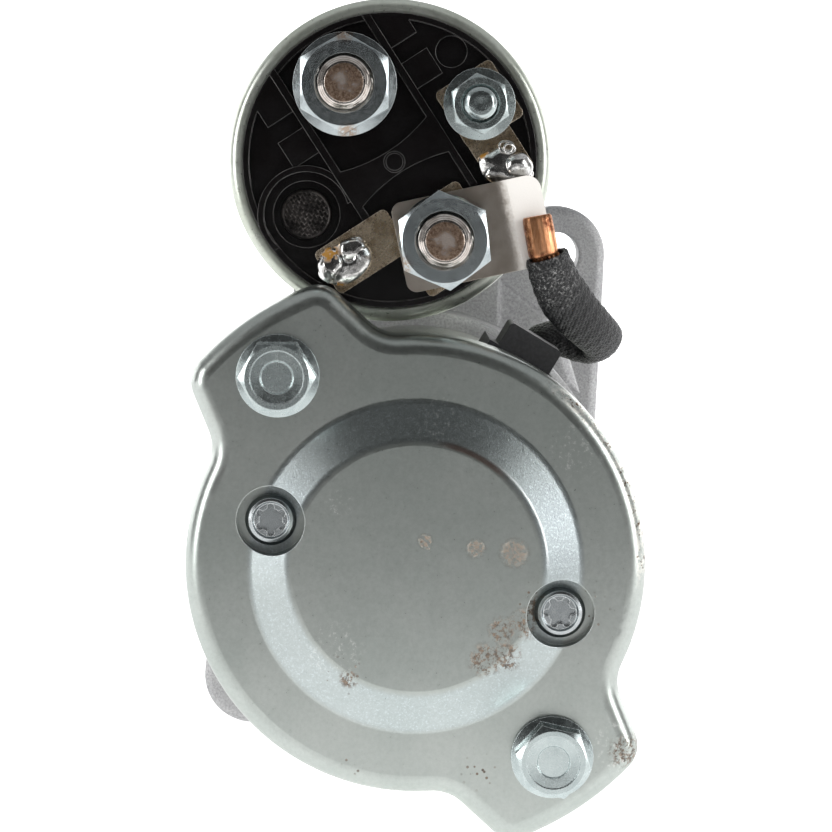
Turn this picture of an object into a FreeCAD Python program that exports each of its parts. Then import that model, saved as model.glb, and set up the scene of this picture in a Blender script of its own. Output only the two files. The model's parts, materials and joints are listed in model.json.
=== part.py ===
import FreeCAD, Part
import math
import os

# Starter motor with a permanent-magnet motor, a planetary reduction gear and a solenoid that
# shifts the pinion with a fork lever.  Millimetres.  The origin is on the motor's axis, in the
# plane of the mounting flange.  +Y points along the motor's axis towards the pinion, +Z points
# from the motor's axis towards the solenoid, and +X completes the right-handed frame.

Vector = FreeCAD.Vector
FORWARD = Vector(0, 1, 0)

# ---------------------------------------------------------------- driving dimensions

# Drive-end housing
FLANGE_RADIUS = 35.0
FLANGE_REAR = -10.0
EAR_RADIUS = 9.2
EAR_HOLE_RADIUS = 4.25
UPPER_EAR = (28.0, 42.5)
LOWER_EAR = (-30.2, -38.4)
PILOT_RADIUS = 33.0
PILOT_FRONT = 5.0
BARREL_RADIUS = 34.5
BARREL_REAR = -62.0
NOSE_RADIUS = 22.5
NOSE_BORE = 18.5
NOSE_FRONT = 62.0
GEAR_BORE = 30.5
FRONT_WALL = -2.6
FORK_BORE = 27.0
FORK_REAR = -28.6

# Solenoid
SOLENOID_X = -3.8
SOLENOID_Z = 60.4
CASE_RADIUS = 24.8
CASE_WALL = 2.0
CASE_FRONT = -46.0
CASE_REAR = -118.0
SEAT_RADIUS = 25.6
SEAT_FRONT = -38.0
PLUNGER_RADIUS = 9.5
PLUNGER_TRAVEL = 9.81

# Solenoid cap, with its own axes: "a" joins the two main studs, "b" is across them
CAP_X = -3.1
CAP_Z = 60.2
CAP_ANGLE = 122.6
CAP_RADIUS = 22.35
CAP_FLOOR = -122.0
RIDGE_TOP = -124.5
RIDGE_OFFSET = 8.3
RIDGE_THICKNESS = 1.1
BARRIER_HALF = 3.3
BARRIER_WAIST = 1.85
WAIST_RADIUS = 24.0
STUD_OFFSET = 13.8
SIGNAL_A = 0.4
SIGNAL_B = 15.55
VENT_A = 0.5
VENT_B = -15.6
BATTERY_SEAT = -127.9
SIGNAL_SEAT = -124.3
PLATE_THICKNESS = 1.0
STRAP_THICKNESS = 1.5

# Motor
YOKE_RADIUS = 32.0
YOKE_WALL = 3.4
COVER_FACE = -137.0
COVER_DEPTH = 10.0
COVER_SHEET = 1.8
COVER_RADIUS = 34.5
PLATEAU_HEIGHT = 2.6
PLATEAU_RADIUS = 19.0
BAND_RADIUS = 24.8
COVER_EAR_RADIUS = 44.5
BOLT_CIRCLE = 35.2
BOLT_ANGLE = 125.5
BOLT_SHANK = 2.6
PLATE_SCREW = (-21.6, 7.0)
BOLT_TWISTS = (30.0, 17.0)
SOCKET_TWISTS = (30.0, 2.0)
WELL_RADIUS = 5.15
WELL_FLOOR = -134.6

# Armature
STACK_RADIUS = 22.5
STACK_REAR = -104.0
STACK_FRONT = -66.0
SLOTS = 25
SHAFT_REAR = -137.3
REAR_BUSH_END = -137.5
COMMUTATOR_RADIUS = 13.0
COMMUTATOR_REAR = -126.0
COMMUTATOR_FRONT = -109.5
MAGNETS = 6
BRUSH_ANGLES = (45, 135, 225, 315)
BRUSH_REAR = -124.0
BRUSH_FRONT = -112.1

# Planetary gear: module, pressure angle and tooth numbers
GEAR_MODULE = 1.25
GEAR_PRESSURE = 25.0
SUN_TEETH = 12
PLANET_TEETH = 15
RING_TEETH = SUN_TEETH + 2 * PLANET_TEETH
PLANETS = 3
PLANET_CIRCLE = GEAR_MODULE * (SUN_TEETH + PLANET_TEETH) / 2
GEAR_REAR = -54.0
GEAR_FRONT = -44.0

# Shift lever and clutch
PIVOT_HEIGHT = 36.0
PIVOT_Y = -14.26
TOP_ARM = 24.4
SWING = 11.6
FORK_INNER = 17.9
FORK_OUTER = 21.2
FORK_PIN_RADIUS = 3.4
SPLINES = 8
SPLINE_ROOT = 7.0
SPLINE_TIP = 8.3
SPLINE_GAP = 0.12
DRUM_RADIUS = 17.5
ROLLERS = 5
PINION_TEETH = 10
PINION_MODULE = 2.5
PINION_REAR = 8.0
PINION_FRONT = 28.0

# Motor lead
BRAID_RADIUS = 2.1
SLEEVE_RADIUS = 2.9
SLEEVE_BORE = 2.3
GROMMET_ANGLE = 58.7
GROMMET_HEIGHT = 38.4
LEAD_Y = -109.5

FIT = 0.05


# ---------------------------------------------------------------- helpers

def cylinder(radius, rear, front, x=0.0, z=0.0):
    return Part.makeCylinder(radius, front - rear, Vector(x, rear, z), FORWARD)


def ring(outer, inner, rear, front, x=0.0, z=0.0):
    return cylinder(outer, rear, front, x, z).cut(cylinder(inner, rear - 1, front + 1, x, z))


def block(x0, x1, rear, front, z0, z1):
    return Part.makeBox(x1 - x0, front - rear, z1 - z0, Vector(x0, rear, z0))


def prism(points, rear, front):
    corners = [Vector(x, rear, z) for x, z in points]
    face = Part.Face(Part.makePolygon(corners + corners[:1]))
    return face.extrude(Vector(0, front - rear, 0))


def revolved(profile, x=0.0, z=0.0):
    """Turns a closed profile of (radius, y) points about the line through (x, z) along Y."""
    corners = [Vector(x + radius, y, z) for radius, y in profile]
    face = Part.Face(Part.makePolygon(corners + corners[:1]))
    return face.revolve(Vector(x, 0, z), FORWARD, 360)


def fused(shapes):
    shapes = list(shapes)
    whole = shapes[0]
    if len(shapes) > 1:
        whole = whole.multiFuse(shapes[1:])
    return whole.removeSplitter()


def turned(shape, angle, x=0.0, z=0.0):
    """A copy turned about the line through (x, z) along Y, from +X towards +Z."""
    copy = shape.copy()
    copy.rotate(Vector(x, 0, z), FORWARD, -angle)
    return copy


def moved(shape, x=0.0, y=0.0, z=0.0):
    copy = shape.copy()
    copy.translate(Vector(x, y, z))
    return copy


def polar(radius, angle, x=0.0, z=0.0):
    turn = math.radians(angle)
    return (x + radius * math.cos(turn), z + radius * math.sin(turn))


def around(shape, count):
    return [turned(shape, 360.0 * k / count) for k in range(count)]


def between(centre_a, radius_a, centre_b, radius_b, rear, front):
    """Two discs joined by the straight sides that touch both."""
    dx = centre_b[0] - centre_a[0]
    dz = centre_b[1] - centre_a[1]
    heading = math.degrees(math.atan2(dz, dx))
    spread = math.degrees(math.acos((radius_a - radius_b) / math.hypot(dx, dz)))
    corners = [
        polar(radius_a, heading + spread, *centre_a),
        polar(radius_b, heading + spread, *centre_b),
        polar(radius_b, heading - spread, *centre_b),
        polar(radius_a, heading - spread, *centre_a),
    ]
    return fused([
        cylinder(radius_a, rear, front, *centre_a),
        cylinder(radius_b, rear, front, *centre_b),
        prism(corners, rear, front),
    ])


def edges_at(shape, wanted):
    return [edge for edge in shape.Edges if wanted(edge)]


def lies_in_plane(y):
    def wanted(edge):
        return all(abs(v.Point.y - y) < 1e-4 for v in edge.Vertexes) and (
            abs(edge.CenterOfMass.y - y) < 1e-4)
    return wanted


def hexagon(across_flats, rear, front, angle=0.0):
    corner = across_flats / math.sqrt(3)
    points = [polar(corner, angle + 30 + 60 * k) for k in range(6)]
    return prism(points, rear, front)


def flanged_hexagon(across_flats, flange_radius, height, top_radius, angle):
    """A flanged hexagon that stands from y = 0 towards -Y."""
    corner = across_flats / math.sqrt(3)
    slope = (corner - top_radius) * math.tan(math.radians(30))
    rim = 0.9
    cone = 0.45
    body = hexagon(across_flats, -height, 0, angle).common(revolved([
        (0, 0), (corner, 0), (corner, -height + slope), (top_radius, -height), (0, -height)]))
    flange = revolved([
        (0, 0), (flange_radius, 0), (flange_radius, -rim),
        (across_flats / 2, -rim - cone), (0, -rim - cone)])
    return fused([body, flange])


def coil_spring(radius, wire, rear, front, turns, x=0.0, z=0.0):
    """A helical spring whose wire fills the length from rear to front."""
    rise = front - rear - 2 * wire
    helix = Part.makeHelix(rise / turns, rise, radius)
    start = Vector(radius, 0, 0)
    section = Part.Wire(Part.Edge(Part.Circle(start, FORWARD, wire)))
    spring = Part.Wire(helix.Edges).makePipeShell([section], True, True)
    spring.rotate(Vector(0, 0, 0), Vector(1, 0, 0), -90)
    spring.translate(Vector(x, rear + wire, z))
    return spring


def involute_point(base, radius):
    """The polar angle, in radians, at which an involute of this base circle meets a radius."""
    if radius <= base:
        return 0.0
    pressure = math.acos(base / radius)
    return math.tan(pressure) - pressure


def toothed_disc(teeth, module, pressure, tip, root, slack, rear, front):
    """A gear-shaped disc with one tooth centred on +X; slack narrows each tooth."""
    pitch = module * teeth / 2
    base = pitch * math.cos(math.radians(pressure))
    half_tooth = math.pi / (2 * teeth) - slack / (2 * pitch)
    start = max(root, base)
    steps = 5

    def flank_angle(radius):
        return half_tooth + involute_point(base, pitch) - involute_point(base, radius)

    edges = []
    for tooth in range(teeth):
        middle = 2 * math.pi * tooth / teeth
        after = middle + math.pi / teeth
        radii = [start + (tip - start) * k / (steps - 1) for k in range(steps)]

        def at(radius, angle):
            return Vector(radius * math.cos(angle), rear, radius * math.sin(angle))

        rising = [at(r, middle - flank_angle(r)) for r in radii]
        falling = [at(r, middle + flank_angle(r)) for r in reversed(radii)]
        root_angle = flank_angle(start)
        if root < start:
            rising_root = at(root, middle - root_angle)
            edges.append(Part.makeLine(rising_root, rising[0]))
        rise = Part.BSplineCurve()
        rise.interpolate(rising)
        edges.append(rise.toShape())
        edges.append(Part.Arc(rising[-1], at(tip, middle), falling[0]).toShape())
        fall = Part.BSplineCurve()
        fall.interpolate(falling)
        edges.append(fall.toShape())
        falling_root = falling[-1]
        if root < start:
            falling_root = at(root, middle + root_angle)
            edges.append(Part.makeLine(falling[-1], falling_root))
        next_root = at(root if root < start else start, 2 * after - middle - root_angle)
        edges.append(Part.Arc(falling_root, at(min(root, start), after), next_root).toShape())
    face = Part.Face(Part.Wire(Part.__sortEdges__(edges)))
    return face.extrude(Vector(0, front - rear, 0))


def save(name, *shapes):
    """Writes one node, with every shape in it as a separate solid."""
    solids = [solid for shape in shapes for solid in shape.Solids]
    whole = Part.makeCompound(solids) if len(solids) > 1 else solids[0]
    whole.exportStep("parts/" + name + ".step")


# ---------------------------------------------------------------- frames of reference

def cap_point(a, b):
    """A place on the solenoid cap, from its own axes to (x, z)."""
    turn = math.radians(CAP_ANGLE)
    x = CAP_X + a * math.cos(turn) + b * math.sin(turn)
    z = CAP_Z + a * math.sin(turn) - b * math.cos(turn)
    return (x, z)


def cap_block(a0, a1, b0, b1, rear, front):
    return prism([cap_point(a0, b0), cap_point(a1, b0), cap_point(a1, b1), cap_point(a0, b1)],
                 rear, front)


def grommet_point(outward, sideways):
    """A place beside the yoke, from the grommet's own axes to (x, z)."""
    turn = math.radians(GROMMET_ANGLE)
    x = outward * math.cos(turn) + sideways * math.sin(turn)
    z = outward * math.sin(turn) - sideways * math.cos(turn)
    return (x, z)


def grommet_block(n0, n1, t0, t1, rear, front):
    return prism([grommet_point(n0, t0), grommet_point(n1, t0),
                  grommet_point(n1, t1), grommet_point(n0, t1)], rear, front)


SHIFT_TILT = math.degrees(math.atan2(-SOLENOID_X, SOLENOID_Z))
SOLENOID_HEIGHT = math.hypot(SOLENOID_X, SOLENOID_Z)


def tilted(shape):
    """Turns what was drawn with the solenoid straight above the motor to its real place."""
    return turned(shape, SHIFT_TILT)


# ---------------------------------------------------------------- drive-end housing

def make_housing():
    flange = fused([
        between((0, 0), FLANGE_RADIUS, UPPER_EAR, EAR_RADIUS, FLANGE_REAR, 0),
        between((0, 0), FLANGE_RADIUS, LOWER_EAR, EAR_RADIUS, FLANGE_REAR, 0),
    ])
    flange = flange.makeFillet(1.6, edges_at(flange, lies_in_plane(FLANGE_REAR)))
    nose = revolved([
        (0, 0), (PILOT_RADIUS, 0), (PILOT_RADIUS, PILOT_FRONT - 1), (PILOT_RADIUS - 1, PILOT_FRONT),
        (NOSE_RADIUS, PILOT_FRONT), (NOSE_RADIUS, 42),
        (13.0, 53), (12.0, NOSE_FRONT - 1), (11.0, NOSE_FRONT), (0, NOSE_FRONT)])
    for y, radius in ((PILOT_FRONT, 3.5), (42, 5.0), (53, 4.0)):
        rounded = [e for e in edges_at(nose, lies_in_plane(y)) if e.Length < 6.3 * NOSE_RADIUS]
        nose = nose.makeFillet(radius, rounded)
    barrel = cylinder(BARREL_RADIUS, BARREL_REAR, 0)
    hood_top = SOLENOID_HEIGHT
    hood = fused([
        prism([(-26.5, 10), (-26.5, 30.5), (-14, 42), (-14, hood_top),
               (14, hood_top), (14, 42), (26.5, 30.5), (26.5, 10)], SEAT_FRONT - 1, 0),
        cylinder(14.0, SEAT_FRONT - 1, 0, 0, hood_top),
    ])
    along = [e for e in hood.Edges if abs(e.tangentAt(e.FirstParameter).y) > 0.9
             and 20 < abs(e.CenterOfMass.x) or abs(e.CenterOfMass.z - 42) < 0.1]
    hood = hood.makeFillet(3.0, along)
    hood = hood.makeFillet(1.6, edges_at(hood, lies_in_plane(0)))
    neck = prism([(-17, 20), (-19, 45), (19, 45), (17, 20)], CASE_FRONT, SEAT_FRONT)
    seat = cylinder(SEAT_RADIUS, CASE_FRONT, SEAT_FRONT, 0, hood_top)
    web = prism([(8, 25), (8, 56), (16, 52), (25, 38), (31, 18)], SEAT_FRONT + 2, FLANGE_REAR + 2)
    web = web.makeFillet(2.0, edges_at(web, lies_in_plane(SEAT_FRONT + 2)))
    barrel = barrel.makeFillet(1.0, edges_at(barrel, lies_in_plane(BARREL_REAR)))
    pad = block(-5.6, 5.6, SEAT_FRONT + 0.8, SEAT_FRONT + 3, -4.4, 4.4)
    pad = pad.makeFillet(2.2, [e for e in pad.Edges if abs(e.tangentAt(0).y) > 0.9])
    pad = moved(turned(pad, -38), 18.6, 0, 38.6)
    bosses = []
    for angle in (BOLT_ANGLE, BOLT_ANGLE + 180):
        boss = cylinder(6.2, BARREL_REAR, -38, *polar(BOLT_CIRCLE, angle))
        bosses.append(boss.makeFillet(2.0, edges_at(boss, lies_in_plane(-38))))
    ribs = []
    for ear in (UPPER_EAR, LOWER_EAR):
        heading = math.degrees(math.atan2(ear[1], ear[0]))
        rib = prism([(30, -2), (43, -2), (43, 2), (30, 2)], -30, FLANGE_REAR + 1)
        slope = Part.Face(Part.makePolygon([
            Vector(33, -31, -5), Vector(44, -31, -5), Vector(44, -9, -5), Vector(33, -31, -5)]))
        rib = rib.cut(slope.extrude(Vector(0, 0, 10)))
        ribs.append(turned(rib, heading))
    solid = fused([flange, nose, barrel, tilted(hood), tilted(neck), tilted(seat), web, pad]
                  + bosses + ribs)

    cavities = [
        cylinder(GEAR_BORE, BARREL_REAR - 1, FORK_REAR),
        cylinder(FORK_BORE, FORK_REAR - 1, FRONT_WALL),
        cylinder(NOSE_BORE, FRONT_WALL - 1, 44),
        revolved([(0, 43.9), (NOSE_BORE, 43.9), (9.5, 49.5), (0, 49.5)]),
        cylinder(8.5, 49, 60),
        block(-16.5, 16.5, 7, 47, -30, -9),
    ]
    lever_room = prism([(-23, 5), (-23, 30), (-10.5, 40), (-10.5, SOLENOID_HEIGHT),
                        (10.5, SOLENOID_HEIGHT), (10.5, 40), (23, 30), (23, 5)],
                       -28.6, FRONT_WALL)
    plunger_room = cylinder(10.5, -36, FRONT_WALL, 0, SOLENOID_HEIGHT)
    plunger_hole = cylinder(10.3, CASE_FRONT - 1, -30, 0, SOLENOID_HEIGHT)
    cavities += [tilted(lever_room), tilted(plunger_room), tilted(plunger_hole)]
    for ear in (UPPER_EAR, LOWER_EAR):
        cavities.append(cylinder(EAR_HOLE_RADIUS, FLANGE_REAR - 1, 1, *ear))
    for angle in (BOLT_ANGLE, BOLT_ANGLE + 180):
        cavities.append(cylinder(3.05, BARREL_REAR - 1, -41, *polar(BOLT_CIRCLE, angle)))
    for side in (-19, 19):
        cavities.append(tilted(cylinder(2.8, CASE_FRONT - 1, SEAT_FRONT + 1, side,
                                        SOLENOID_HEIGHT)))
    pivot = Part.makeCylinder(3.05, 38, Vector(-19, PIVOT_Y, PIVOT_HEIGHT), Vector(1, 0, 0))
    cavities.append(tilted(pivot))
    return solid.cut(Part.makeCompound(cavities))


def make_bushes():
    nose = ring(8.45, 6.04, 50, 59.9)
    centre = ring(10.95, 8.54, -36.4, -28.8)
    rear = ring(7.0, 4.04, REAR_BUSH_END, -130.5)
    return [nose, centre, rear]


def make_pivot_pin():
    pin = Part.makeCylinder(3.0, 36, Vector(-18, PIVOT_Y, PIVOT_HEIGHT), Vector(1, 0, 0))
    return tilted(pin)


# ---------------------------------------------------------------- reduction gear

def gear(teeth, rear, front, bore):
    pitch = GEAR_MODULE * teeth / 2
    disc = toothed_disc(teeth, GEAR_MODULE, GEAR_PRESSURE, pitch + 0.8 * GEAR_MODULE,
                        pitch - 1.05 * GEAR_MODULE, 0.1, rear, front)
    return disc.cut(cylinder(bore, rear - 1, front + 1))


def make_ring_gear():
    pitch = GEAR_MODULE * RING_TEETH / 2
    spaces = toothed_disc(RING_TEETH, GEAR_MODULE, GEAR_PRESSURE, pitch + 1.05 * GEAR_MODULE,
                          pitch - 0.8 * GEAR_MODULE, -0.1, -57, -41)
    return cylinder(GEAR_BORE - 0.1, -56, -42).cut(spaces)


def make_gear_shield():
    disc = ring(GEAR_BORE - 0.1, 6.5, -58.5, -56.05)
    rim = ring(GEAR_BORE - 0.1, 28.7, -61.9, -58.5)
    return fused([disc, rim])


def make_centre_bracket():
    plate = ring(GEAR_BORE - 0.1, 11.0, -31.2, FORK_REAR - 0.05)
    rim = ring(GEAR_BORE - 0.1, 26.5, -41.95, -31.2)
    hub = ring(14.0, 11.0, -36.4, -28.8)
    return fused([plate, rim, hub])


def make_planet():
    planet = gear(PLANET_TEETH, GEAR_REAR, GEAR_FRONT, 3.55)
    return moved(turned(planet, 180.0 / PLANET_TEETH + 180.0), PLANET_CIRCLE)


def splined(root, tip, width, rear, front):
    key = block(0, tip, rear, front, -width / 2, width / 2)
    return fused([cylinder(root, rear, front)] + around(key, SPLINES)).common(
        cylinder(tip, rear, front))


def make_output_shaft():
    carrier = cylinder(23.5, -43, -37.4)
    journal = cylinder(8.5, -37.5, -28.1)
    splines = splined(SPLINE_ROOT, SPLINE_TIP, 3.0, -28.2, 5.0)
    front = revolved([(0, 4.9), (6.95, 4.9), (6.95, 48.6), (6.0, 49.2), (6.0, 58.8),
                      (5.0, 59.6), (0, 59.6)])
    whole = fused([carrier, journal, splines, front])
    holes = [cylinder(4.06, -44, -34)]
    for k in range(PLANETS):
        holes.append(cylinder(3.5, -44, -36, *polar(PLANET_CIRCLE, 360.0 * k / PLANETS)))
    groove = ring(7.5, 6.3, 45.6, 46.8)
    return whole.cut(Part.makeCompound(holes + [groove]))


def make_planet_pins():
    pin = cylinder(3.48, -55.2, -37.4, PLANET_CIRCLE)
    return around(pin, PLANETS)


def make_stop_collar():
    collar = revolved([(7.0, 44), (11, 44), (11, 47.2), (9.6, 48.2), (7.9, 48.2), (7.9, 45.5),
                       (7.0, 45.5)])
    snap_ring = ring(7.8, 6.35, 45.65, 46.75)
    gap = block(0, 9, 45, 47.5, -2, 2)
    return [collar, snap_ring.cut(gap)]


# ---------------------------------------------------------------- clutch and lever

def make_collar():
    return revolved([(11.12, -26.6), (16.8, -26.6), (16.8, -25.0), (13.0, -25.0), (13.0, -18.0),
                     (16.8, -18.0), (16.8, -16.4), (11.12, -16.4)])


def make_clutch_drum():
    outside = fused([
        cylinder(11.0, -28.0, -15),
        revolved([(0, -16.2), (16.5, -16.2), (DRUM_RADIUS, -15.2), (DRUM_RADIUS, 6), (16.5, 7),
                  (0, 7)]),
    ])
    key_room = splined(SPLINE_ROOT + SPLINE_GAP, SPLINE_TIP + SPLINE_GAP, 3.0 + 2 * SPLINE_GAP,
                       -29, -8)
    race_room = cylinder(10.3, -8.6, 8)
    pocket = fused([cylinder(2.25, -7.6, 5.4, 12.05, 0),
                    block(9, 13.4, -7.6, 5.4, 0, 5.2).common(cylinder(14.2, -8, 6))])
    return outside.cut(Part.makeCompound([key_room, race_room] + around(pocket, ROLLERS)))


def make_rollers():
    roller = cylinder(2.0, -7.3, 5.1, 12.05, 0)
    return around(roller, ROLLERS)


def make_pinion():
    race = cylinder(9.9, -8.3, PINION_REAR + 0.5)
    pitch = PINION_MODULE * PINION_TEETH / 2
    teeth = toothed_disc(PINION_TEETH, PINION_MODULE, 20.0, pitch + PINION_MODULE, 9.9, 0.15,
                         PINION_REAR, PINION_FRONT)
    chamfer = revolved([(0, PINION_REAR), (16, PINION_REAR), (16, PINION_FRONT - 3.5),
                        (13, PINION_FRONT), (0, PINION_FRONT)])
    whole = fused([race, teeth.common(chamfer)])
    bore = cylinder(7.02, 6.9, PINION_FRONT + 1)
    relief = cylinder(8.7, -9, 7)
    return whole.cut(Part.makeCompound([bore, relief]))


def make_lever():
    """Drawn upright in the middle of its swing, then leaned back to its rest position."""
    half = 3.4
    tip = Part.makeCylinder(3.4, 6, Vector(-3, PIVOT_Y, PIVOT_HEIGHT + TOP_ARM), Vector(1, 0, 0))
    arm = block(-3, 3, PIVOT_Y - 2.3, PIVOT_Y + 2.3, PIVOT_HEIGHT, PIVOT_HEIGHT + TOP_ARM)
    hub = Part.makeCylinder(6.0, 16, Vector(-8, PIVOT_Y, PIVOT_HEIGHT), Vector(1, 0, 0))
    fork = prism([(-8, 39), (-FORK_OUTER, 25), (-FORK_OUTER, -4), (-FORK_INNER, -4),
                  (-FORK_INNER, 20), (-9, 29), (9, 29), (FORK_INNER, 20), (FORK_INNER, -4),
                  (FORK_OUTER, -4), (FORK_OUTER, 25), (8, 39)], PIVOT_Y - half, PIVOT_Y + half)
    pins = []
    for side in (-1, 1):
        start = Vector(side * 13.4, PIVOT_Y, 0)
        pins.append(Part.makeCylinder(FORK_PIN_RADIUS, FORK_INNER + 1 - 13.4, start,
                                      Vector(side, 0, 0)))
    lever = fused([tip, arm, hub, fork] + pins)
    bore = Part.makeCylinder(3.05, 50, Vector(-25, PIVOT_Y, PIVOT_HEIGHT), Vector(1, 0, 0))
    lever = lever.cut(bore)
    lever.rotate(Vector(0, PIVOT_Y, PIVOT_HEIGHT), Vector(1, 0, 0), -SWING)
    return tilted(lever)


# ---------------------------------------------------------------- solenoid

def make_plunger():
    rest_tip = PIVOT_Y + TOP_ARM * math.sin(math.radians(SWING))
    body = revolved([(0, -72), (PLUNGER_RADIUS - 0.6, -72), (PLUNGER_RADIUS, -71.4),
                     (PLUNGER_RADIUS, -21), (PLUNGER_RADIUS - 1, -20), (6, -20), (6, -4.2),
                     (5.2, -3.4), (0, -3.4)])
    pocket = cylinder(6.6, -73, -56)
    slot = block(-3.3, 3.3, rest_tip - 3.5, rest_tip + 3.5, -8, 4.2)
    plunger = body.cut(Part.makeCompound([pocket, slot]))
    return tilted(moved(plunger, 0, 0, SOLENOID_HEIGHT))


def on_solenoid(shape):
    return moved(shape, SOLENOID_X, 0, SOLENOID_Z)


def make_solenoid_case():
    bore = CASE_RADIUS - CASE_WALL
    lip = 22.5
    outside = cylinder(CASE_RADIUS, CASE_REAR, CASE_FRONT)
    outside = outside.makeFillet(1.6, edges_at(outside, lies_in_plane(CASE_REAR)))
    inside = fused([cylinder(bore, -115.5, -50), cylinder(lip, -119, -115)])
    holes = [cylinder(9.9, -51, -45)]
    for side in (-19, 19):
        holes.append(turned(cylinder(2.55, -51, -45, side, 0), SHIFT_TILT))
    case = outside.cut(Part.makeCompound([inside] + holes))
    lip_edge = [e for e in edges_at(case, lies_in_plane(CASE_REAR))
                if e.BoundBox.XLength < 2 * lip + 0.1]
    case = case.makeFillet(0.5, lip_edge)
    return on_solenoid(case)


def make_solenoid_core():
    core = fused([cylinder(22.7, -103.9, -98.1), cylinder(9.4, -99, -84)])
    return on_solenoid(core.cut(cylinder(2.9, -105, -83)))


def make_bobbin():
    tube = ring(11.0, 9.7, -98.0, -50.1)
    rear = ring(22.4, 9.7, -98.0, -96.6)
    front = ring(22.4, 9.7, -51.5, -50.1)
    return on_solenoid(fused([tube, rear, front]))


def make_windings():
    pull_in = ring(16.4, 11.1, -96.5, -51.6)
    hold_in = ring(21.6, 16.6, -96.5, -51.6)
    return [on_solenoid(pull_in), on_solenoid(hold_in)]


def make_contact_rod():
    rod = cylinder(2.5, -112, -62.86)
    head = cylinder(3.6, -108, -106.6)
    return on_solenoid(fused([rod, head]))


def make_contact_disc():
    return on_solenoid(ring(15.0, 2.55, -110.0, -108.05))


def make_return_spring():
    return coil_spring(5.5, 0.5, -83.9, -56.1, 9, SOLENOID_X, SOLENOID_Z)


def make_contact_spring():
    return coil_spring(3.9, 0.4, -115.9, -110.1, 4, SOLENOID_X, SOLENOID_Z)


def stud_places():
    return [cap_point(STUD_OFFSET, 0), cap_point(-STUD_OFFSET, 0)]


def make_cap():
    outside = fused([
        on_solenoid(cylinder(22.7, -115.4, -104)),
        on_solenoid(cylinder(CAP_RADIUS, CAP_FLOOR, -115)),
    ])
    within = on_solenoid(cylinder(CAP_RADIUS, -130, CAP_FLOOR + 0.1))
    raised = []
    floor = CAP_FLOOR + 0.05
    half = RIDGE_THICKNESS / 2
    for side in (-1, 1):
        middle = side * RIDGE_OFFSET
        raised.append(cap_block(-9.6, 24, middle - half, middle + half, RIDGE_TOP, floor))
        step = sorted((side * RIDGE_OFFSET, side * 13.4))
        raised.append(cap_block(14.7, 20.5, step[0], step[1], RIDGE_TOP + 1, floor))
        raised.append(cap_block(7.4, 11.9, step[0], step[1], RIDGE_TOP + 1, floor))
    edge = ring(CAP_RADIUS, CAP_RADIUS - 0.9, RIDGE_TOP + 1, floor)
    barrier = cap_block(-BARRIER_HALF, BARRIER_HALF, -RIDGE_OFFSET, RIDGE_OFFSET, RIDGE_TOP, floor)
    waist = []
    for side in (-1, 1):
        middle = side * (BARRIER_WAIST + WAIST_RADIUS)
        waist.append(cylinder(WAIST_RADIUS, RIDGE_TOP - 1, floor - 0.02, *cap_point(middle, 0)))
    barrier = barrier.cut(Part.makeCompound(waist))
    vent_wall = ring(7.4, 6.5, RIDGE_TOP + 0.6, floor, *cap_point(VENT_A, VENT_B))
    wall_end = cap_block(-12, -1.5, VENT_B - 10, VENT_B + 10, RIDGE_TOP - 1, floor - 0.02)
    raised += [on_solenoid(edge), barrier, vent_wall.cut(wall_end)]
    battery, motor = stud_places()
    signal = cap_point(SIGNAL_A, SIGNAL_B)
    motor_seat = BATTERY_SEAT + STRAP_THICKNESS + PLATE_THICKNESS
    raised.append(cylinder(6.6, BATTERY_SEAT, floor, *battery))
    raised.append(cylinder(6.2, motor_seat, floor, *motor))
    raised.append(cylinder(4.2, SIGNAL_SEAT + 0.8, floor, *signal))
    raised = [shape.common(within) for shape in raised]
    cap = fused([outside] + raised)
    holes = [on_solenoid(cylinder(19.9, -116, -103))]
    for place in (battery, motor):
        holes.append(cylinder(4.05, -130, -115, *place))
    holes.append(cylinder(2.55, -130, -115, *signal))
    holes.append(cylinder(5.1, -124, -120.9, *cap_point(VENT_A, VENT_B)))
    holes.append(cylinder(2.4, -124, -121, *cap_point(9.4, 16.3)))
    holes.append(ring(1.6, 1.3, RIDGE_TOP - 1, RIDGE_TOP + 0.3, *cap_point(0, 0)))
    return cap.cut(Part.makeCompound(holes))


def make_main_studs():
    studs = []
    for place in stud_places():
        shank = revolved([(0, -139), (3.2, -139), (3.75, -138.4), (3.75, -135.9), (4.0, -135.6),
                          (4.0, -115.9), (5.2, -115.9), (5.2, -113.05), (0, -113.05)])
        studs.append(moved(shank, place[0], 0, place[1]))
    return studs


def make_signal_stud():
    shank = revolved([(0, -131.4), (1.9, -131.4), (2.2, -131.0), (2.2, -129.0), (2.5, -128.8),
                      (2.5, -115.9), (3.2, -115.9), (3.2, -114.4), (0, -114.4)])
    x, z = cap_point(SIGNAL_A, SIGNAL_B)
    return moved(shank, x, 0, z)


def make_nut(across_flats, flange_radius, height, bore, angle, seat, place):
    body = flanged_hexagon(across_flats, flange_radius, height, across_flats / 2 * 0.97, angle)
    mouth = revolved([(0, -height - 1), (bore + 1.4, -height - 1), (bore + 0.4, -height),
                      (bore, -height + 0.4), (bore, 1), (0, 1)])
    return moved(body.cut(mouth), place[0], seat, place[1])


def make_main_nuts():
    battery, motor = stud_places()
    return [make_nut(13, 7.8, 8.0, 4.05, 0, BATTERY_SEAT, battery),
            make_nut(13, 6.8, 8.0, 4.05, 6.5, BATTERY_SEAT, motor)]


def make_signal_nut():
    return make_nut(8, 5.45, 4.7, 2.55, 7, SIGNAL_SEAT, cap_point(SIGNAL_A, SIGNAL_B))


def terminal_plate(sizes, rear, front):
    plate = cap_block(*sizes, rear, front)
    return plate.makeFillet(0.9, [e for e in plate.Edges if abs(e.tangentAt(0).y) > 0.9])


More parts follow.
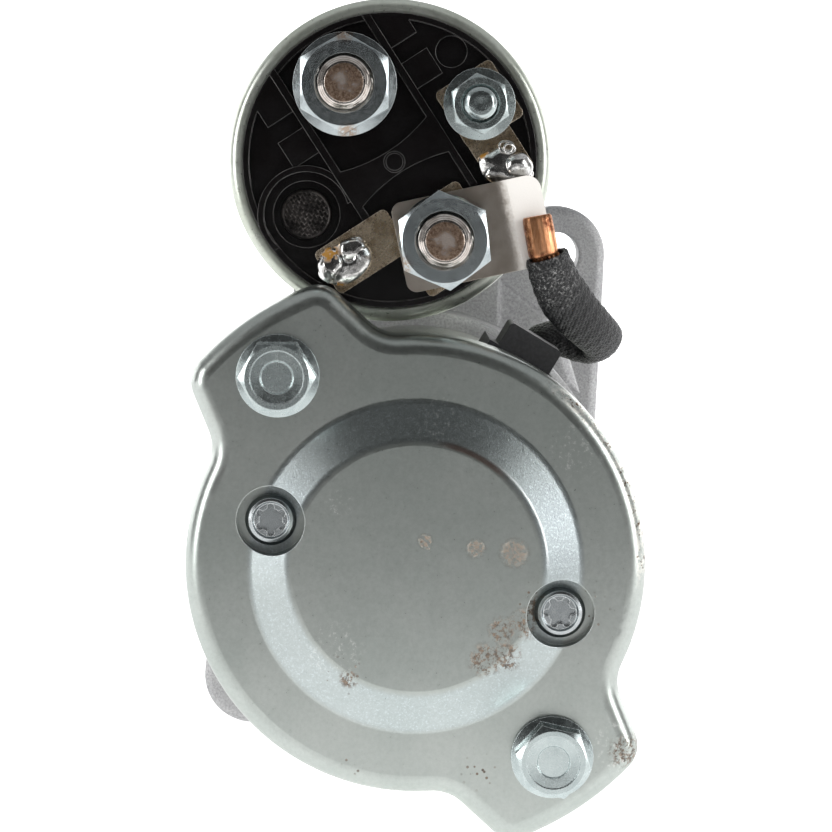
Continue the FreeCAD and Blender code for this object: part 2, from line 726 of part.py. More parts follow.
def make_coil_terminals():
    motor_front = BATTERY_SEAT + STRAP_THICKNESS + PLATE_THICKNESS
    motor_rear = motor_front - PLATE_THICKNESS
    square = (-STUD_OFFSET - 6.5, -STUD_OFFSET + 6.5, -6.5, 6.5)
    motor = fused([
        terminal_plate(square, motor_rear, motor_front),
        terminal_plate((-12.5, -5.0, -17.8, -5), motor_rear, motor_front),
    ])
    motor = motor.cut(cylinder(4.15, -130, -120, *cap_point(-STUD_OFFSET, 0)))
    signal_front = SIGNAL_SEAT + 0.8
    square = (SIGNAL_A - 5, SIGNAL_A + 5, SIGNAL_B - 5, SIGNAL_B + 5)
    signal = fused([
        terminal_plate(square, SIGNAL_SEAT, signal_front),
        terminal_plate((-12.0, -3, SIGNAL_B - 4.9, SIGNAL_B + 2.1), SIGNAL_SEAT, signal_front),
    ])
    signal = signal.cut(cylinder(2.65, -130, -120, *cap_point(SIGNAL_A, SIGNAL_B)))
    return [motor, signal]


def make_solder_joints():
    joints = []
    places = [(cap_point(-8.6, -14.6), BATTERY_SEAT + STRAP_THICKNESS),
              (cap_point(-9.0, 14.6), SIGNAL_SEAT)]
    for place, seat in places:
        ball = Part.makeSphere(4.0, Vector(place[0], seat + 2.2, place[1]))
        below = cylinder(6, seat, seat + 9, *place)
        joints.append(ball.cut(below))
    return joints


def make_cap_vent():
    place = cap_point(VENT_A, VENT_B)
    rim = ring(5.0, 3.4, -122.2, -121.0, *place)
    mesh = cylinder(3.5, -121.5, -121.1, *place)
    return fused([rim, mesh])


def make_solenoid_screws():
    screws = []
    for side in (-19, 19):
        shank = cylinder(2.5, -49.8, SEAT_FRONT + 0.1)
        head = revolved([(0, SEAT_FRONT), (4.5, SEAT_FRONT), (4.5, SEAT_FRONT + 2.4),
                         (3.8, SEAT_FRONT + 3.2), (0, SEAT_FRONT + 3.2)])
        drive = hexagon(4.0, SEAT_FRONT + 1.0, SEAT_FRONT + 4)
        screws.append(tilted(moved(fused([shank, head]).cut(drive), side, 0, SOLENOID_HEIGHT)))
    return screws


# ---------------------------------------------------------------- motor

def make_yoke():
    tube = ring(YOKE_RADIUS, YOKE_RADIUS - YOKE_WALL, COVER_FACE + COVER_SHEET + FIT, BARREL_REAR)
    notch = grommet_block(25, 34, -5.2, 3.2, -136, -104)
    register = cylinder(YOKE_RADIUS - YOKE_WALL + 0.9, -136, -130)
    return tube.cut(Part.makeCompound([notch, register]))


def make_magnets():
    arc = ring(YOKE_RADIUS - YOKE_WALL - 0.1, 23.2, -106, -64)
    wedge = prism([(0, 0), polar(60, -24.5), polar(60, 24.5)], -107, -63)
    magnet = arc.common(wedge)
    return [turned(magnet, 30 + 360.0 * k / MAGNETS) for k in range(MAGNETS)]


def cover_outline(rear, front):
    """The cover's plan: a circle with two opposite ears, with rounded corners and roots."""
    ears = []
    for turn in (0, 180):
        start = polar(COVER_EAR_RADIUS, 107.8 + turn)
        middle = polar(COVER_EAR_RADIUS, 124.0 + turn)
        end = polar(COVER_EAR_RADIUS, 140.3 + turn)
        root_a = polar(COVER_RADIUS, 98.0 + turn)
        root_b = polar(COVER_RADIUS, 149.7 + turn)
        points = [Vector(p[0], rear, p[1]) for p in (root_a, start, middle, end, root_b)]
        centre = Vector(0, rear, 0)
        edges = [Part.makeLine(centre, points[0]), Part.makeLine(points[0], points[1]),
                 Part.Arc(points[1], points[2], points[3]).toShape(),
                 Part.makeLine(points[3], points[4]), Part.makeLine(points[4], centre)]
        ears.append(Part.Face(Part.Wire(edges)).extrude(Vector(0, front - rear, 0)))
    body = fused([cylinder(COVER_RADIUS, rear, front)] + ears)

    def upright_at(radius_low, radius_high):
        found = []
        for edge in body.Edges:
            low, high = edge.BoundBox.YMin, edge.BoundBox.YMax
            place = edge.CenterOfMass
            distance = math.hypot(place.x, place.z)
            straight = edge.Curve.TypeId == "Part::GeomLine"
            if straight and high - low > 1 and edge.BoundBox.XLength < 0.01 and (
                    radius_low < distance < radius_high):
                found.append(edge)
        return found

    body = body.makeFillet(4.5, upright_at(COVER_EAR_RADIUS - 1, COVER_EAR_RADIUS + 1))
    roots = upright_at(COVER_RADIUS - 1, COVER_RADIUS + 1)
    return body.makeFillet(6.5, roots)


def make_cover():
    outside = cover_outline(COVER_FACE, COVER_FACE + COVER_DEPTH)
    plan = [f for f in outside.Faces if abs(f.CenterOfMass.y - COVER_FACE) < 1e-4][0]
    inner_plan = plan.OuterWire.makeOffset2D(-COVER_SHEET)
    inside = Part.Face(inner_plan).extrude(Vector(0, COVER_DEPTH + 1, 0))
    inside = moved(inside, 0, COVER_SHEET)
    outside = outside.makeFillet(2.8, edges_at(outside, lies_in_plane(COVER_FACE)))
    peak = COVER_FACE - PLATEAU_HEIGHT
    plateau = revolved([(0, peak), (PLATEAU_RADIUS, peak), (BAND_RADIUS, COVER_FACE),
                        (BAND_RADIUS, COVER_FACE + 1), (0, COVER_FACE + 1)])
    top = edges_at(plateau, lies_in_plane(peak))
    plateau = plateau.makeFillet(3.0, [e for e in top if e.Length > 10])
    inner_plateau = revolved([
        (0, peak + COVER_SHEET), (PLATEAU_RADIUS - 0.9, peak + COVER_SHEET),
        (BAND_RADIUS - 0.9, COVER_FACE + COVER_SHEET), (BAND_RADIUS - 0.9, COVER_FACE + 2),
        (0, COVER_FACE + 2)])
    solid = fused([outside, plateau])
    foot = [e for e in edges_at(solid, lies_in_plane(COVER_FACE))
            if e.Length > 6 * BAND_RADIUS and e.Length < 6.4 * BAND_RADIUS]
    solid = solid.makeFillet(2.0, foot)
    shell = solid.cut(fused([inside, inner_plateau]))
    bush_cup = ring(8.6, 7.05, peak + COVER_SHEET - 0.1, -130.6)
    additions = [bush_cup]
    holes = []
    for side in (-1, 1):
        place = (side * PLATE_SCREW[0], side * PLATE_SCREW[1])
        additions.append(cylinder(WELL_RADIUS + 1.2, peak - 1, WELL_FLOOR + 1.5, *place)
                         .common(solid))
        additions.append(cylinder(WELL_RADIUS + 1.2, COVER_FACE + 1, WELL_FLOOR + 1.5, *place))
        holes.append(cylinder(WELL_RADIUS, peak - 1, WELL_FLOOR, *place))
        holes.append(cylinder(2.2, peak - 1, WELL_FLOOR + 2, *place))
    for angle in (BOLT_ANGLE, BOLT_ANGLE + 180):
        holes.append(cylinder(3.3, COVER_FACE - 1, COVER_FACE + 3, *polar(BOLT_CIRCLE, angle)))
    return fused([shell] + additions).cut(Part.makeCompound(holes))


def make_through_bolts():
    bolts = []
    for angle, twist in zip((BOLT_ANGLE, BOLT_ANGLE + 180), BOLT_TWISTS):
        head = flanged_hexagon(10.0, 6.2, 5.2, 4.75, twist)
        dimple = revolved([(0, -6), (4.2, -6), (3.9, -4.8), (2.5, -4.7), (2.3, -4.4), (0, -4.4)])
        shank = cylinder(BOLT_SHANK, -0.1, 75)
        thread = cylinder(3.0, 75 - 0.1, 94)
        bolt = fused([head, shank, thread]).cut(dimple)
        place = polar(BOLT_CIRCLE, angle)
        bolts.append(moved(bolt, place[0], COVER_FACE, place[1]))
    return bolts


def make_plate_screws():
    screws = []
    for side, twist in zip((-1, 1), SOCKET_TWISTS):
        head = revolved([(0, 0), (3.85, 0), (3.85, -1.3), (3.3, -2.1), (2.6, -2.4), (0, -2.4)])
        lobes = [cylinder(0.55, -3, -0.8, *polar(1.9, twist + 60 * k)) for k in range(6)]
        socket = fused([cylinder(1.75, -3, -0.8)] + lobes)
        cone = revolved([(0, -2.5), (2.95, -2.5), (2.5, -1.8), (0, -1.8)])
        shank = cylinder(2.0, -0.1, 8)
        screw = fused([head, shank]).cut(socket).cut(cone)
        screws.append(moved(screw, -side * PLATE_SCREW[0], WELL_FLOOR, -side * PLATE_SCREW[1]))
    return screws


def make_brush_plate():
    plate = ring(28.0, 14.6, -133.0, -131.5)
    holes = []
    for side in (-1, 1):
        place = (side * PLATE_SCREW[0], side * PLATE_SCREW[1])
        holes.append(cylinder(2.05, -134, -130, *place))
    notch = grommet_block(25, 34, -5.5, 3.5, -136, -104)
    return plate.cut(Part.makeCompound(holes + [notch]))


def make_brush_boxes():
    box = block(14.6, 26.4, -131.45, -110.9, -4.6, 4.6)
    channel = block(14, 25.3, BRUSH_REAR - 0.1, BRUSH_FRONT + 0.1, -3.6, 3.6)
    hollow = block(14, 25.3, -130.4, BRUSH_REAR - 1.2, -3.6, 3.6)
    return [turned(box.cut(Part.makeCompound([channel, hollow])), a) for a in BRUSH_ANGLES]


def make_brush(angle):
    brush = block(12, 20.3, BRUSH_REAR, BRUSH_FRONT, -3.5, 3.5)
    brush = brush.cut(cylinder(COMMUTATOR_RADIUS + 0.08, BRUSH_REAR - 1, BRUSH_FRONT + 1))
    return turned(brush, angle)


def make_brush_springs():
    springs = []
    for angle in BRUSH_ANGLES:
        spring = coil_spring(2.6, 0.4, 0, 4.8, 3)
        spring.rotate(Vector(0, 0, 0), Vector(0, 0, 1), -90)
        spring.translate(Vector(20.4, (BRUSH_REAR + BRUSH_FRONT) / 2, 0))
        springs.append(turned(spring, angle))
    return springs


def make_grommet():
    base = grommet_block(29.5, 33.0, -4.9, 2.9, -134.8, -104.3)
    under_cover = cylinder(YOKE_RADIUS, -134.8, -126.6)
    outside_cover = cylinder(60, -126.6, -104.3)
    step = grommet_block(32.3, 34.4, -7.6, 3.4, -126.4, -102.5)
    tower = grommet_block(34.0, GROMMET_HEIGHT, -6.1, 2.84, -126.4, -114.0)
    tower = tower.makeFillet(0.6, [e for e in tower.Edges if abs(e.tangentAt(0).y) > 0.9])
    base = base.common(fused([under_cover, outside_cover]))
    whole = fused([base, step, tower])
    x, z = grommet_point(1, 0)
    start = grommet_point(20, -1)
    bore = Part.makeCylinder(BRAID_RADIUS + 0.1, 25, Vector(start[0], LEAD_Y, start[1]),
                             Vector(x, 0, z))
    return whole.cut(bore)


def lead_route():
    inside = grommet_point(28.8, -1)
    corner = grommet_point(39.2, -1)
    return [
        Vector(inside[0], LEAD_Y, inside[1]),
        Vector(corner[0], LEAD_Y, corner[1]),
        Vector(27.4, -109.2, 30.6),
        Vector(30.9, -113.4, 31.6),
        Vector(28.6, -120.5, 34.2),
        Vector(23.6, -126.3, 39.4),
        Vector(19.4, -129.9, 47.2),
        Vector(18.3, -129.7, 52.4),
    ]


def turn_radii(points):
    """The radius of each bend: its arc takes 0.45 of the shorter of its two runs."""
    radii = []
    for before, at, after in zip(points, points[1:], points[2:]):
        arriving = at - before
        leaving = after - at
        turn = arriving.getAngle(leaving)
        radii.append(0.45 * min(arriving.Length, leaving.Length) / math.tan(turn / 2))
    return radii


def rounded_wire(points, radii):
    """Straight runs joined by tangent arcs."""
    edges = []
    start = points[0]
    for before, at, after, radius in zip(points, points[1:], points[2:], radii):
        back = (before - at).normalize()
        on = (after - at).normalize()
        half = back.getAngle(on) / 2
        reach = radius / math.tan(half)
        bisector = (back + on).normalize()
        centre = at + bisector * (radius / math.sin(half))
        first = at + back * reach
        last = at + on * reach
        middle = centre - bisector * radius
        edges.append(Part.makeLine(start, first))
        edges.append(Part.Arc(first, middle, last).toShape())
        start = last
    edges.append(Part.makeLine(start, points[-1]))
    return Part.Wire(edges)


def swept(wire, radius):
    first = wire.Edges[0]
    start = first.Vertexes[0].Point
    direction = first.tangentAt(first.FirstParameter)
    section = Part.Wire(Part.Edge(Part.Circle(start, direction, radius)))
    return wire.makePipeShell([section], True, False)


def make_lead():
    points = lead_route()
    radii = turn_radii(points)
    wire = rounded_wire(points, radii)
    braid = swept(wire, BRAID_RADIUS)
    section = math.pi * BRAID_RADIUS ** 2
    print("lead length", round(wire.Length, 2), "bend radii", [round(r, 1) for r in radii],
          "volume ratio", round(braid.Volume / (wire.Length * section), 4))
    return braid


def make_sleeve():
    points = lead_route()
    radii = turn_radii(points)
    first = grommet_point(34.6, -1)
    last = points[-3] + (points[-2] - points[-3]) * 0.54
    points = [Vector(first[0], LEAD_Y, first[1])] + points[1:-2] + [last]
    wire = rounded_wire(points, radii[:len(points) - 2])
    return swept(wire, SLEEVE_RADIUS).cut(swept(wire, SLEEVE_BORE))


def make_strap():
    """Flat under the nut, then bent towards +Y beyond it."""
    flat_end = 11.0
    bend = math.radians(15)
    rear = BATTERY_SEAT
    far_end = 16.0
    x_rear = [(-6.9, rear), (flat_end, rear),
              (far_end, rear + (far_end - flat_end) * math.tan(bend))]
    side = [Vector(x, y, -7.0) for x, y in x_rear]
    front = [Vector(p.x, p.y + STRAP_THICKNESS, p.z) for p in reversed(side)]
    profile = side + front
    strap = Part.Face(Part.makePolygon(profile + profile[:1])).extrude(Vector(0, 0, 13.8))
    upright = [e for e in strap.Edges
               if abs(e.tangentAt(e.FirstParameter).y) > 0.9 and e.CenterOfMass.x < 0]
    strap = strap.makeFillet(1.6, upright)
    far = [e for e in strap.Edges
           if abs(e.tangentAt(e.FirstParameter).y) > 0.9 and e.CenterOfMass.x > 14]
    strap = strap.makeFillet(2.2, far)
    strap = strap.cut(cylinder(4.15, -140, -120))
    x, z = cap_point(-STUD_OFFSET, 0)
    return moved(turned(strap, 12.0), x, 0, z)


# ---------------------------------------------------------------- armature

def make_armature_shaft():
    end = SHAFT_REAR
    return revolved([(0, end), (3.6, end), (4.0, end + 0.5), (4.0, -129.5), (5.0, -129.0),
                     (5.0, -43.4), (4.0, -43.0), (4.0, -34.8), (3.6, -34.4), (0, -34.4)])


def make_armature_core():
    stack = ring(STACK_RADIUS, 5.03, STACK_REAR, STACK_FRONT)
    slot = block(15, 24, STACK_REAR - 1, STACK_FRONT + 1, -1.1, 1.1)
    return stack.cut(Part.makeCompound(around(slot, SLOTS)))


def make_armature_winding():
    bar = block(15.2, 21.6, STACK_REAR - 0.5, STACK_FRONT + 0.5, -0.95, 0.95)
    rear = revolved([(9, -104.2), (22, -104.2), (21.5, -107.5), (17.6, -108.4), (9, -108.4)])
    front = revolved([(9, -65.8), (22, -65.8), (21.0, -61.8), (16, -60.8), (9, -60.8)])
    return fused([rear, front] + around(bar, SLOTS))


def make_commutator():
    bar = ring(COMMUTATOR_RADIUS, 8.05, COMMUTATOR_REAR, COMMUTATOR_FRONT)
    riser = ring(17.0, 8.05, COMMUTATOR_FRONT - 0.6, COMMUTATOR_FRONT + 0.9)
    half = 180.0 / SLOTS - 1.1
    wedge = prism([(0, 0), polar(40, -half), polar(40, half)], -130, -105)
    segment = fused([bar, riser]).common(wedge)
    hub = ring(8.0, 5.03, COMMUTATOR_REAR - 0.6, COMMUTATOR_FRONT + 0.9)
    return around(segment, SLOTS), hub


# ---------------------------------------------------------------- build

def main():
    os.makedirs("parts", exist_ok=True)
    save("drive_end_housing", make_housing())
    save("shaft_bushes", *make_bushes())
    save("lever_pivot_pin", make_pivot_pin())
    save("ring_gear", make_ring_gear())
    save("gear_shield", make_gear_shield())
    save("centre_bracket", make_centre_bracket())
    sun = gear(SUN_TEETH, GEAR_REAR, GEAR_FRONT, 5.03)
    save("sun_gear", sun)
    planet = make_planet()
    for k in range(PLANETS):
        save("planet_gear_" + str(k + 1), turned(planet, 360.0 * k / PLANETS))
    save("output_shaft", make_output_shaft())
    save("planet_pins", *make_planet_pins())
    save("stop_collar", *make_stop_collar())
    save("shift_collar", make_collar())
    save("collar_washer", ring(14.0, 11.02, -28.0, -26.8))
    save("clutch_drum", make_clutch_drum())
    save("clutch_rollers", *make_rollers())
    save("pinion", make_pinion())
    save("shift_lever", make_lever())
    save("plunger", make_plunger())
    save("return_spring", make_return_spring())
    save("solenoid_case", make_solenoid_case())
    save("solenoid_core", make_solenoid_core())
    save("coil_bobbin", make_bobbin())
    save("coil_windings", *make_windings())
    save("contact_rod", make_contact_rod())
    save("contact_disc", make_contact_disc())
    save("contact_spring", make_contact_spring())
    save("solenoid_cap", make_cap())
    save("main_studs", *make_main_studs())
    save("signal_stud", make_signal_stud())
    save("main_stud_nuts", *make_main_nuts())
    save("signal_nut", make_signal_nut())
    save("coil_terminals", *make_coil_terminals())
    save("solder_joints", *make_solder_joints())
    save("cap_vent", make_cap_vent())
    save("solenoid_screws", *make_solenoid_screws())
    save("yoke", make_yoke())
    save("magnets", *make_magnets())
    save("rear_cover", make_cover())
    save("through_bolts", *make_through_bolts())
    save("brush_plate_screws", *make_plate_screws())
    save("brush_plate", make_brush_plate())
    save("brush_boxes", *make_brush_boxes())
    for k, angle in enumerate(BRUSH_ANGLES):
        save("brush_" + str(k + 1), make_brush(angle))
    save("brush_springs", *make_brush_springs())
    save("lead_grommet", make_grommet())
    save("motor_lead", make_lead())
    save("lead_sleeve", make_sleeve())
    save("lead_strap", make_strap())
    save("armature_shaft", make_armature_shaft())
    save("armature_core", make_armature_core())
    save("armature_winding", make_armature_winding())
    bars, hub = make_commutator()
    save("commutator_bars", *bars)
    save("commutator_hub", hub)


main()
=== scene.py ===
import json
import math
import random

import bmesh
import bpy
import numpy as np
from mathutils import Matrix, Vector, noise


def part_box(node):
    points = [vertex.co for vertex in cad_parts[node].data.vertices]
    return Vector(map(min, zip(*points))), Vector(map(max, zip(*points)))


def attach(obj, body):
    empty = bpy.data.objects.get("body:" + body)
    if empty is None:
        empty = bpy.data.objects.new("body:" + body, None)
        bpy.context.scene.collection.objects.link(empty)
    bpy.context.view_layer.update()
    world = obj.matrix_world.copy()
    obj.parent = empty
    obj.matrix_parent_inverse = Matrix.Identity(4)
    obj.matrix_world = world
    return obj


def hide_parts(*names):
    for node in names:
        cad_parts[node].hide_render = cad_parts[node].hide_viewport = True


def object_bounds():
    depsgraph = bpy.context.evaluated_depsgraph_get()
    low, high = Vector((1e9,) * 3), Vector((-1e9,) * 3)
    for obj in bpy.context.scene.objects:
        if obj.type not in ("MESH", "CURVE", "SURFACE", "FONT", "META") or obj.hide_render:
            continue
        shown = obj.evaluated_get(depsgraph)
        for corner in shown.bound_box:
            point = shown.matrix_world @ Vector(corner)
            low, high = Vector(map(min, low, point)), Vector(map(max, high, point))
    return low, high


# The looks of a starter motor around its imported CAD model.  Lengths below are in millimetres
# unless a name says otherwise, and are turned into metres where Blender needs them.

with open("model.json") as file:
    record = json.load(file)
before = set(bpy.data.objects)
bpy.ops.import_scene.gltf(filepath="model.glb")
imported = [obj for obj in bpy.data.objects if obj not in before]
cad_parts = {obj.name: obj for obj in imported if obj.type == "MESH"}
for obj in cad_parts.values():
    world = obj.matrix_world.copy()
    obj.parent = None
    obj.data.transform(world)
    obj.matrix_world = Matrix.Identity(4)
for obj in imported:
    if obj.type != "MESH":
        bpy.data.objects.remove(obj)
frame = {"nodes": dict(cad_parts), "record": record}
CAD_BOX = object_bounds()
MM = 0.001

# ---------------------------------------------------------------- sizes and places

CAMERA_PLACE = (-4.21, -581.6, 60.63)
CAMERA_TARGET = (0.05, -137.0, 22.59)
CAMERA_LENS = 130.0

# The motor's lead, from inside the motor through the grommet and up to the strap
LEAD_ROUTE = [
    (14.11, -109.5, 25.13),
    (19.51, -109.5, 34.01),
    (27.4, -109.2, 30.6),
    (30.0, -113.4, 32.0),
    (27.4, -120.7, 34.4),
    (22.3, -126.6, 39.6),
    (19.2, -129.9, 47.2),
    (18.3, -129.7, 52.4),
]
SLEEVE_START = 5.6
SLEEVE_END = 45.6
# Direction of the flattened sleeve's long side at its mouth
MOUTH_WIDE = (0.86, 0.0, 0.51)

# The cover: a depth between its face and its raised centre, that centre's own depth, and the
# radii between which the band slopes from one to the other
MARKS_Y = -138.0
PLATEAU_Y = -139.6
BAND_INNER = 19.5
BAND_OUTER = 24.5

# Places on the solenoid's cap: (x, z) of what lies along Y, (x, y, z) of the rest
BATTERY_STUD = (-10.535, 71.826)
MOTOR_STUD = (4.335, 48.574)
SIGNAL_STUD = (9.785, 68.915)
M8_PITCH = 1.25
M5_PITCH = 0.8
VENT = (-16.51, 52.22)
RIGHT_SOLDER = (13.9, -124.3, 60.3)
LEFT_SOLDER = (-10.6, -126.4, 45.1)
STRAP_TURN = math.radians(12)

# The copper pad that is welded to the strap: its middle and two of its axes
PAD_MIDDLE = (18.85, -128.9, 49.0)
PAD_WIDE = (0.950, 0.259, 0.171)
PAD_RISE = (-0.177, 0.0, 0.984)


def metres(point):
    return Vector(point) * MM


# ---------------------------------------------------------------- procedural materials

class Finish:
    """A node material whose patterns are laid out in millimetres in the part's frame."""

    def __init__(self, name, metallic=0.0, roughness=0.5):
        self.material = bpy.data.materials.new(name)
        self.material.use_nodes = True
        self.tree = self.material.node_tree
        self.shader = self.tree.nodes["Principled BSDF"]
        self.set("Metallic", metallic)
        self.set("Roughness", roughness)
        place = self.node("ShaderNodeTexCoord").outputs["Object"]
        self.place = self.vector("SCALE", place, scale=1 / MM)
        self.normal = None

    def node(self, kind, **settings):
        made = self.tree.nodes.new(kind)
        for key, value in settings.items():
            setattr(made, key, value)
        return made

    def feed(self, socket, value):
        if isinstance(value, bpy.types.NodeSocket):
            self.tree.links.new(value, socket)
        elif value is not None:
            socket.default_value = value

    def set(self, name, value):
        if name == "Base Color" and not isinstance(value, bpy.types.NodeSocket):
            value = (*value, 1.0)
        self.feed(self.shader.inputs[name], value)

    def math(self, operation, a, b=None):
        made = self.node("ShaderNodeMath", operation=operation)
        self.feed(made.inputs[0], a)
        self.feed(made.inputs[1], b)
        return made.outputs[0]

    def times(self, a, b):
        return self.math("MULTIPLY", a, b)

    def vector(self, operation, a, b=None, scale=None):
        made = self.node("ShaderNodeVectorMath", operation=operation)
        self.feed(made.inputs[0], a)
        self.feed(made.inputs[1], b)
        if scale is not None:
            self.feed(made.inputs["Scale"], scale)
        is_number = operation in ("LENGTH", "DISTANCE", "DOT_PRODUCT")
        return made.outputs["Value" if is_number else "Vector"]

    def noise(self, size, detail=3.0, roughness=0.55, at=None):
        made = self.node("ShaderNodeTexNoise")
        self.feed(made.inputs["Vector"], at or self.place)
        made.inputs["Scale"].default_value = 1 / size
        made.inputs["Detail"].default_value = detail
        made.inputs["Roughness"].default_value = roughness
        return made.outputs["Fac"]

    def cells(self, size):
        made = self.node("ShaderNodeTexVoronoi")
        self.feed(made.inputs["Vector"], self.place)
        made.inputs["Scale"].default_value = 1 / size
        return made.outputs["Distance"]

    def span(self, value, low, high, start=0.0, end=1.0):
        """A smooth step of value from low to high, mapped to start and end."""
        made = self.node("ShaderNodeMapRange", interpolation_type="SMOOTHSTEP")
        self.feed(made.inputs["Value"], value)
        for name, number in (("From Min", low), ("From Max", high),
                             ("To Min", start), ("To Max", end)):
            self.feed(made.inputs[name], number)
        return made.outputs["Result"]

    def mix(self, share, a, b):
        made = self.node("ShaderNodeMix", data_type="RGBA")
        self.feed(made.inputs[0], share)
        for socket, colour in ((made.inputs[6], a), (made.inputs[7], b)):
            is_socket = isinstance(colour, bpy.types.NodeSocket)
            self.feed(socket, colour if is_socket else (*colour, 1.0))
        return made.outputs[2]

    def over(self, tint, colour, mask, share):
        """The tint with a share of another colour laid over it where the mask is bright."""
        return self.mix(self.times(mask, share), tint, colour)

    def tint(self):
        """The socket that feeds the base colour so far."""
        return self.shader.inputs["Base Color"].links[0].from_socket

    def part(self, axis):
        made = self.node("ShaderNodeSeparateXYZ")
        self.feed(made.inputs[0], self.place)
        return made.outputs[axis]

    def from_axis(self, x, z):
        """Distance from the line along Y through x, z."""
        flat = self.vector("MULTIPLY", self.place, (1, 0, 1))
        return self.vector("DISTANCE", flat, (x, 0, z))

    def near(self, point, radius, softness=0.5):
        distance = self.vector("DISTANCE", self.place, point)
        return self.span(distance, radius * (1 - softness), radius, 1.0, 0.0)

    def near_lines(self, places, softness):
        """A mask around lines along Y, each given as (x, z, radius)."""
        return self.most([self.span(self.from_axis(x, z), radius * (1 - softness), radius,
                                    1.0, 0.0) for x, z, radius in places])

    def most(self, values):
        total = values[0]
        for value in values[1:]:
            total = self.math("MAXIMUM", total, value)
        return total

    def round_edges(self, radius):
        made = self.node("ShaderNodeBevel", samples=4)
        made.inputs["Radius"].default_value = radius * MM
        self.normal = made.outputs["Normal"]

    def painted_edge_lines(self, radius):
        """Rounds the edges and returns a mask of thin lines along them, where highlights are
        painted.
        """
        self.round_edges(radius)
        face = self.node("ShaderNodeNewGeometry").outputs["Normal"]
        return self.span(self.vector("DOT_PRODUCT", self.normal, face), 0.84, 0.99, 1.0, 0.0)

    def paint_edge_highlights(self, lines, tint, colour, share=0.75, metallic=1.0):
        """Paints highlights on the thin lines: a pale, less metallic colour there catches light
        from every side.
        """
        self.set("Base Color", self.over(tint, colour, lines, share))
        self.set("Metallic", self.span(lines, 0, 1, metallic, 0.35))

    def bump(self, height, depth):
        made = self.node("ShaderNodeBump")
        made.inputs["Strength"].default_value = 1.0
        made.inputs["Distance"].default_value = depth * MM
        self.feed(made.inputs["Height"], height)
        self.feed(made.inputs["Normal"], self.normal)
        self.normal = made.outputs["Normal"]

    def done(self):
        self.feed(self.shader.inputs["Normal"], self.normal)
        return self.material


def plated(name, dark, light, roughness, grain=0.006, edge=0.25, size=9, metallic=1.0):
    """Zinc or nickel plate: two close tints, a satin grain, faint handling marks and painted
    highlights along the edges.
    """
    finish = Finish(name, metallic=1.0)
    lines = finish.painted_edge_lines(edge)
    patches = finish.span(finish.noise(size, 5, 0.65), 0.3, 0.7)
    fine = finish.noise(0.8, 2, 0.6)
    tint = finish.mix(patches, dark, light)
    shade = finish.span(fine, 0.3, 0.7, 0.95, 1.04)
    tint = finish.vector("SCALE", tint, scale=shade)
    # Painted highlights: pale, less metallic lines along the edges
    finish.paint_edge_highlights(lines, tint, (0.84, 0.88, 0.88), metallic=metallic)
    finish.set("Roughness", finish.span(fine, 0.25, 0.75, roughness - 0.03, roughness + 0.05))
    if grain:
        finish.bump(finish.noise(0.3, 3, 0.7), grain)
    return finish


def specks(finish, size, reach, places):
    """Small round spots, scattered only near the places given as (x, z, radius)."""
    spots = finish.span(finish.cells(size), reach * 0.6, reach, 1.0, 0.0)
    return finish.times(spots, finish.near_lines(places, 0.6))


def blotches(finish, size, level, places):
    """Ragged patches near the places given as (x, z, radius)."""
    patch = finish.span(finish.noise(size, 6, 0.8), level, level + 0.06)
    return finish.times(patch, finish.near_lines(places, 0.5))


def ring_mask(finish, distance, inner, outer, soft):
    """A ring between two distances from an axis, with soft borders."""
    rise = finish.span(distance, inner - soft, inner)
    fall = finish.span(distance, outer, outer + soft, 1.0, 0.0)
    return finish.times(rise, fall)


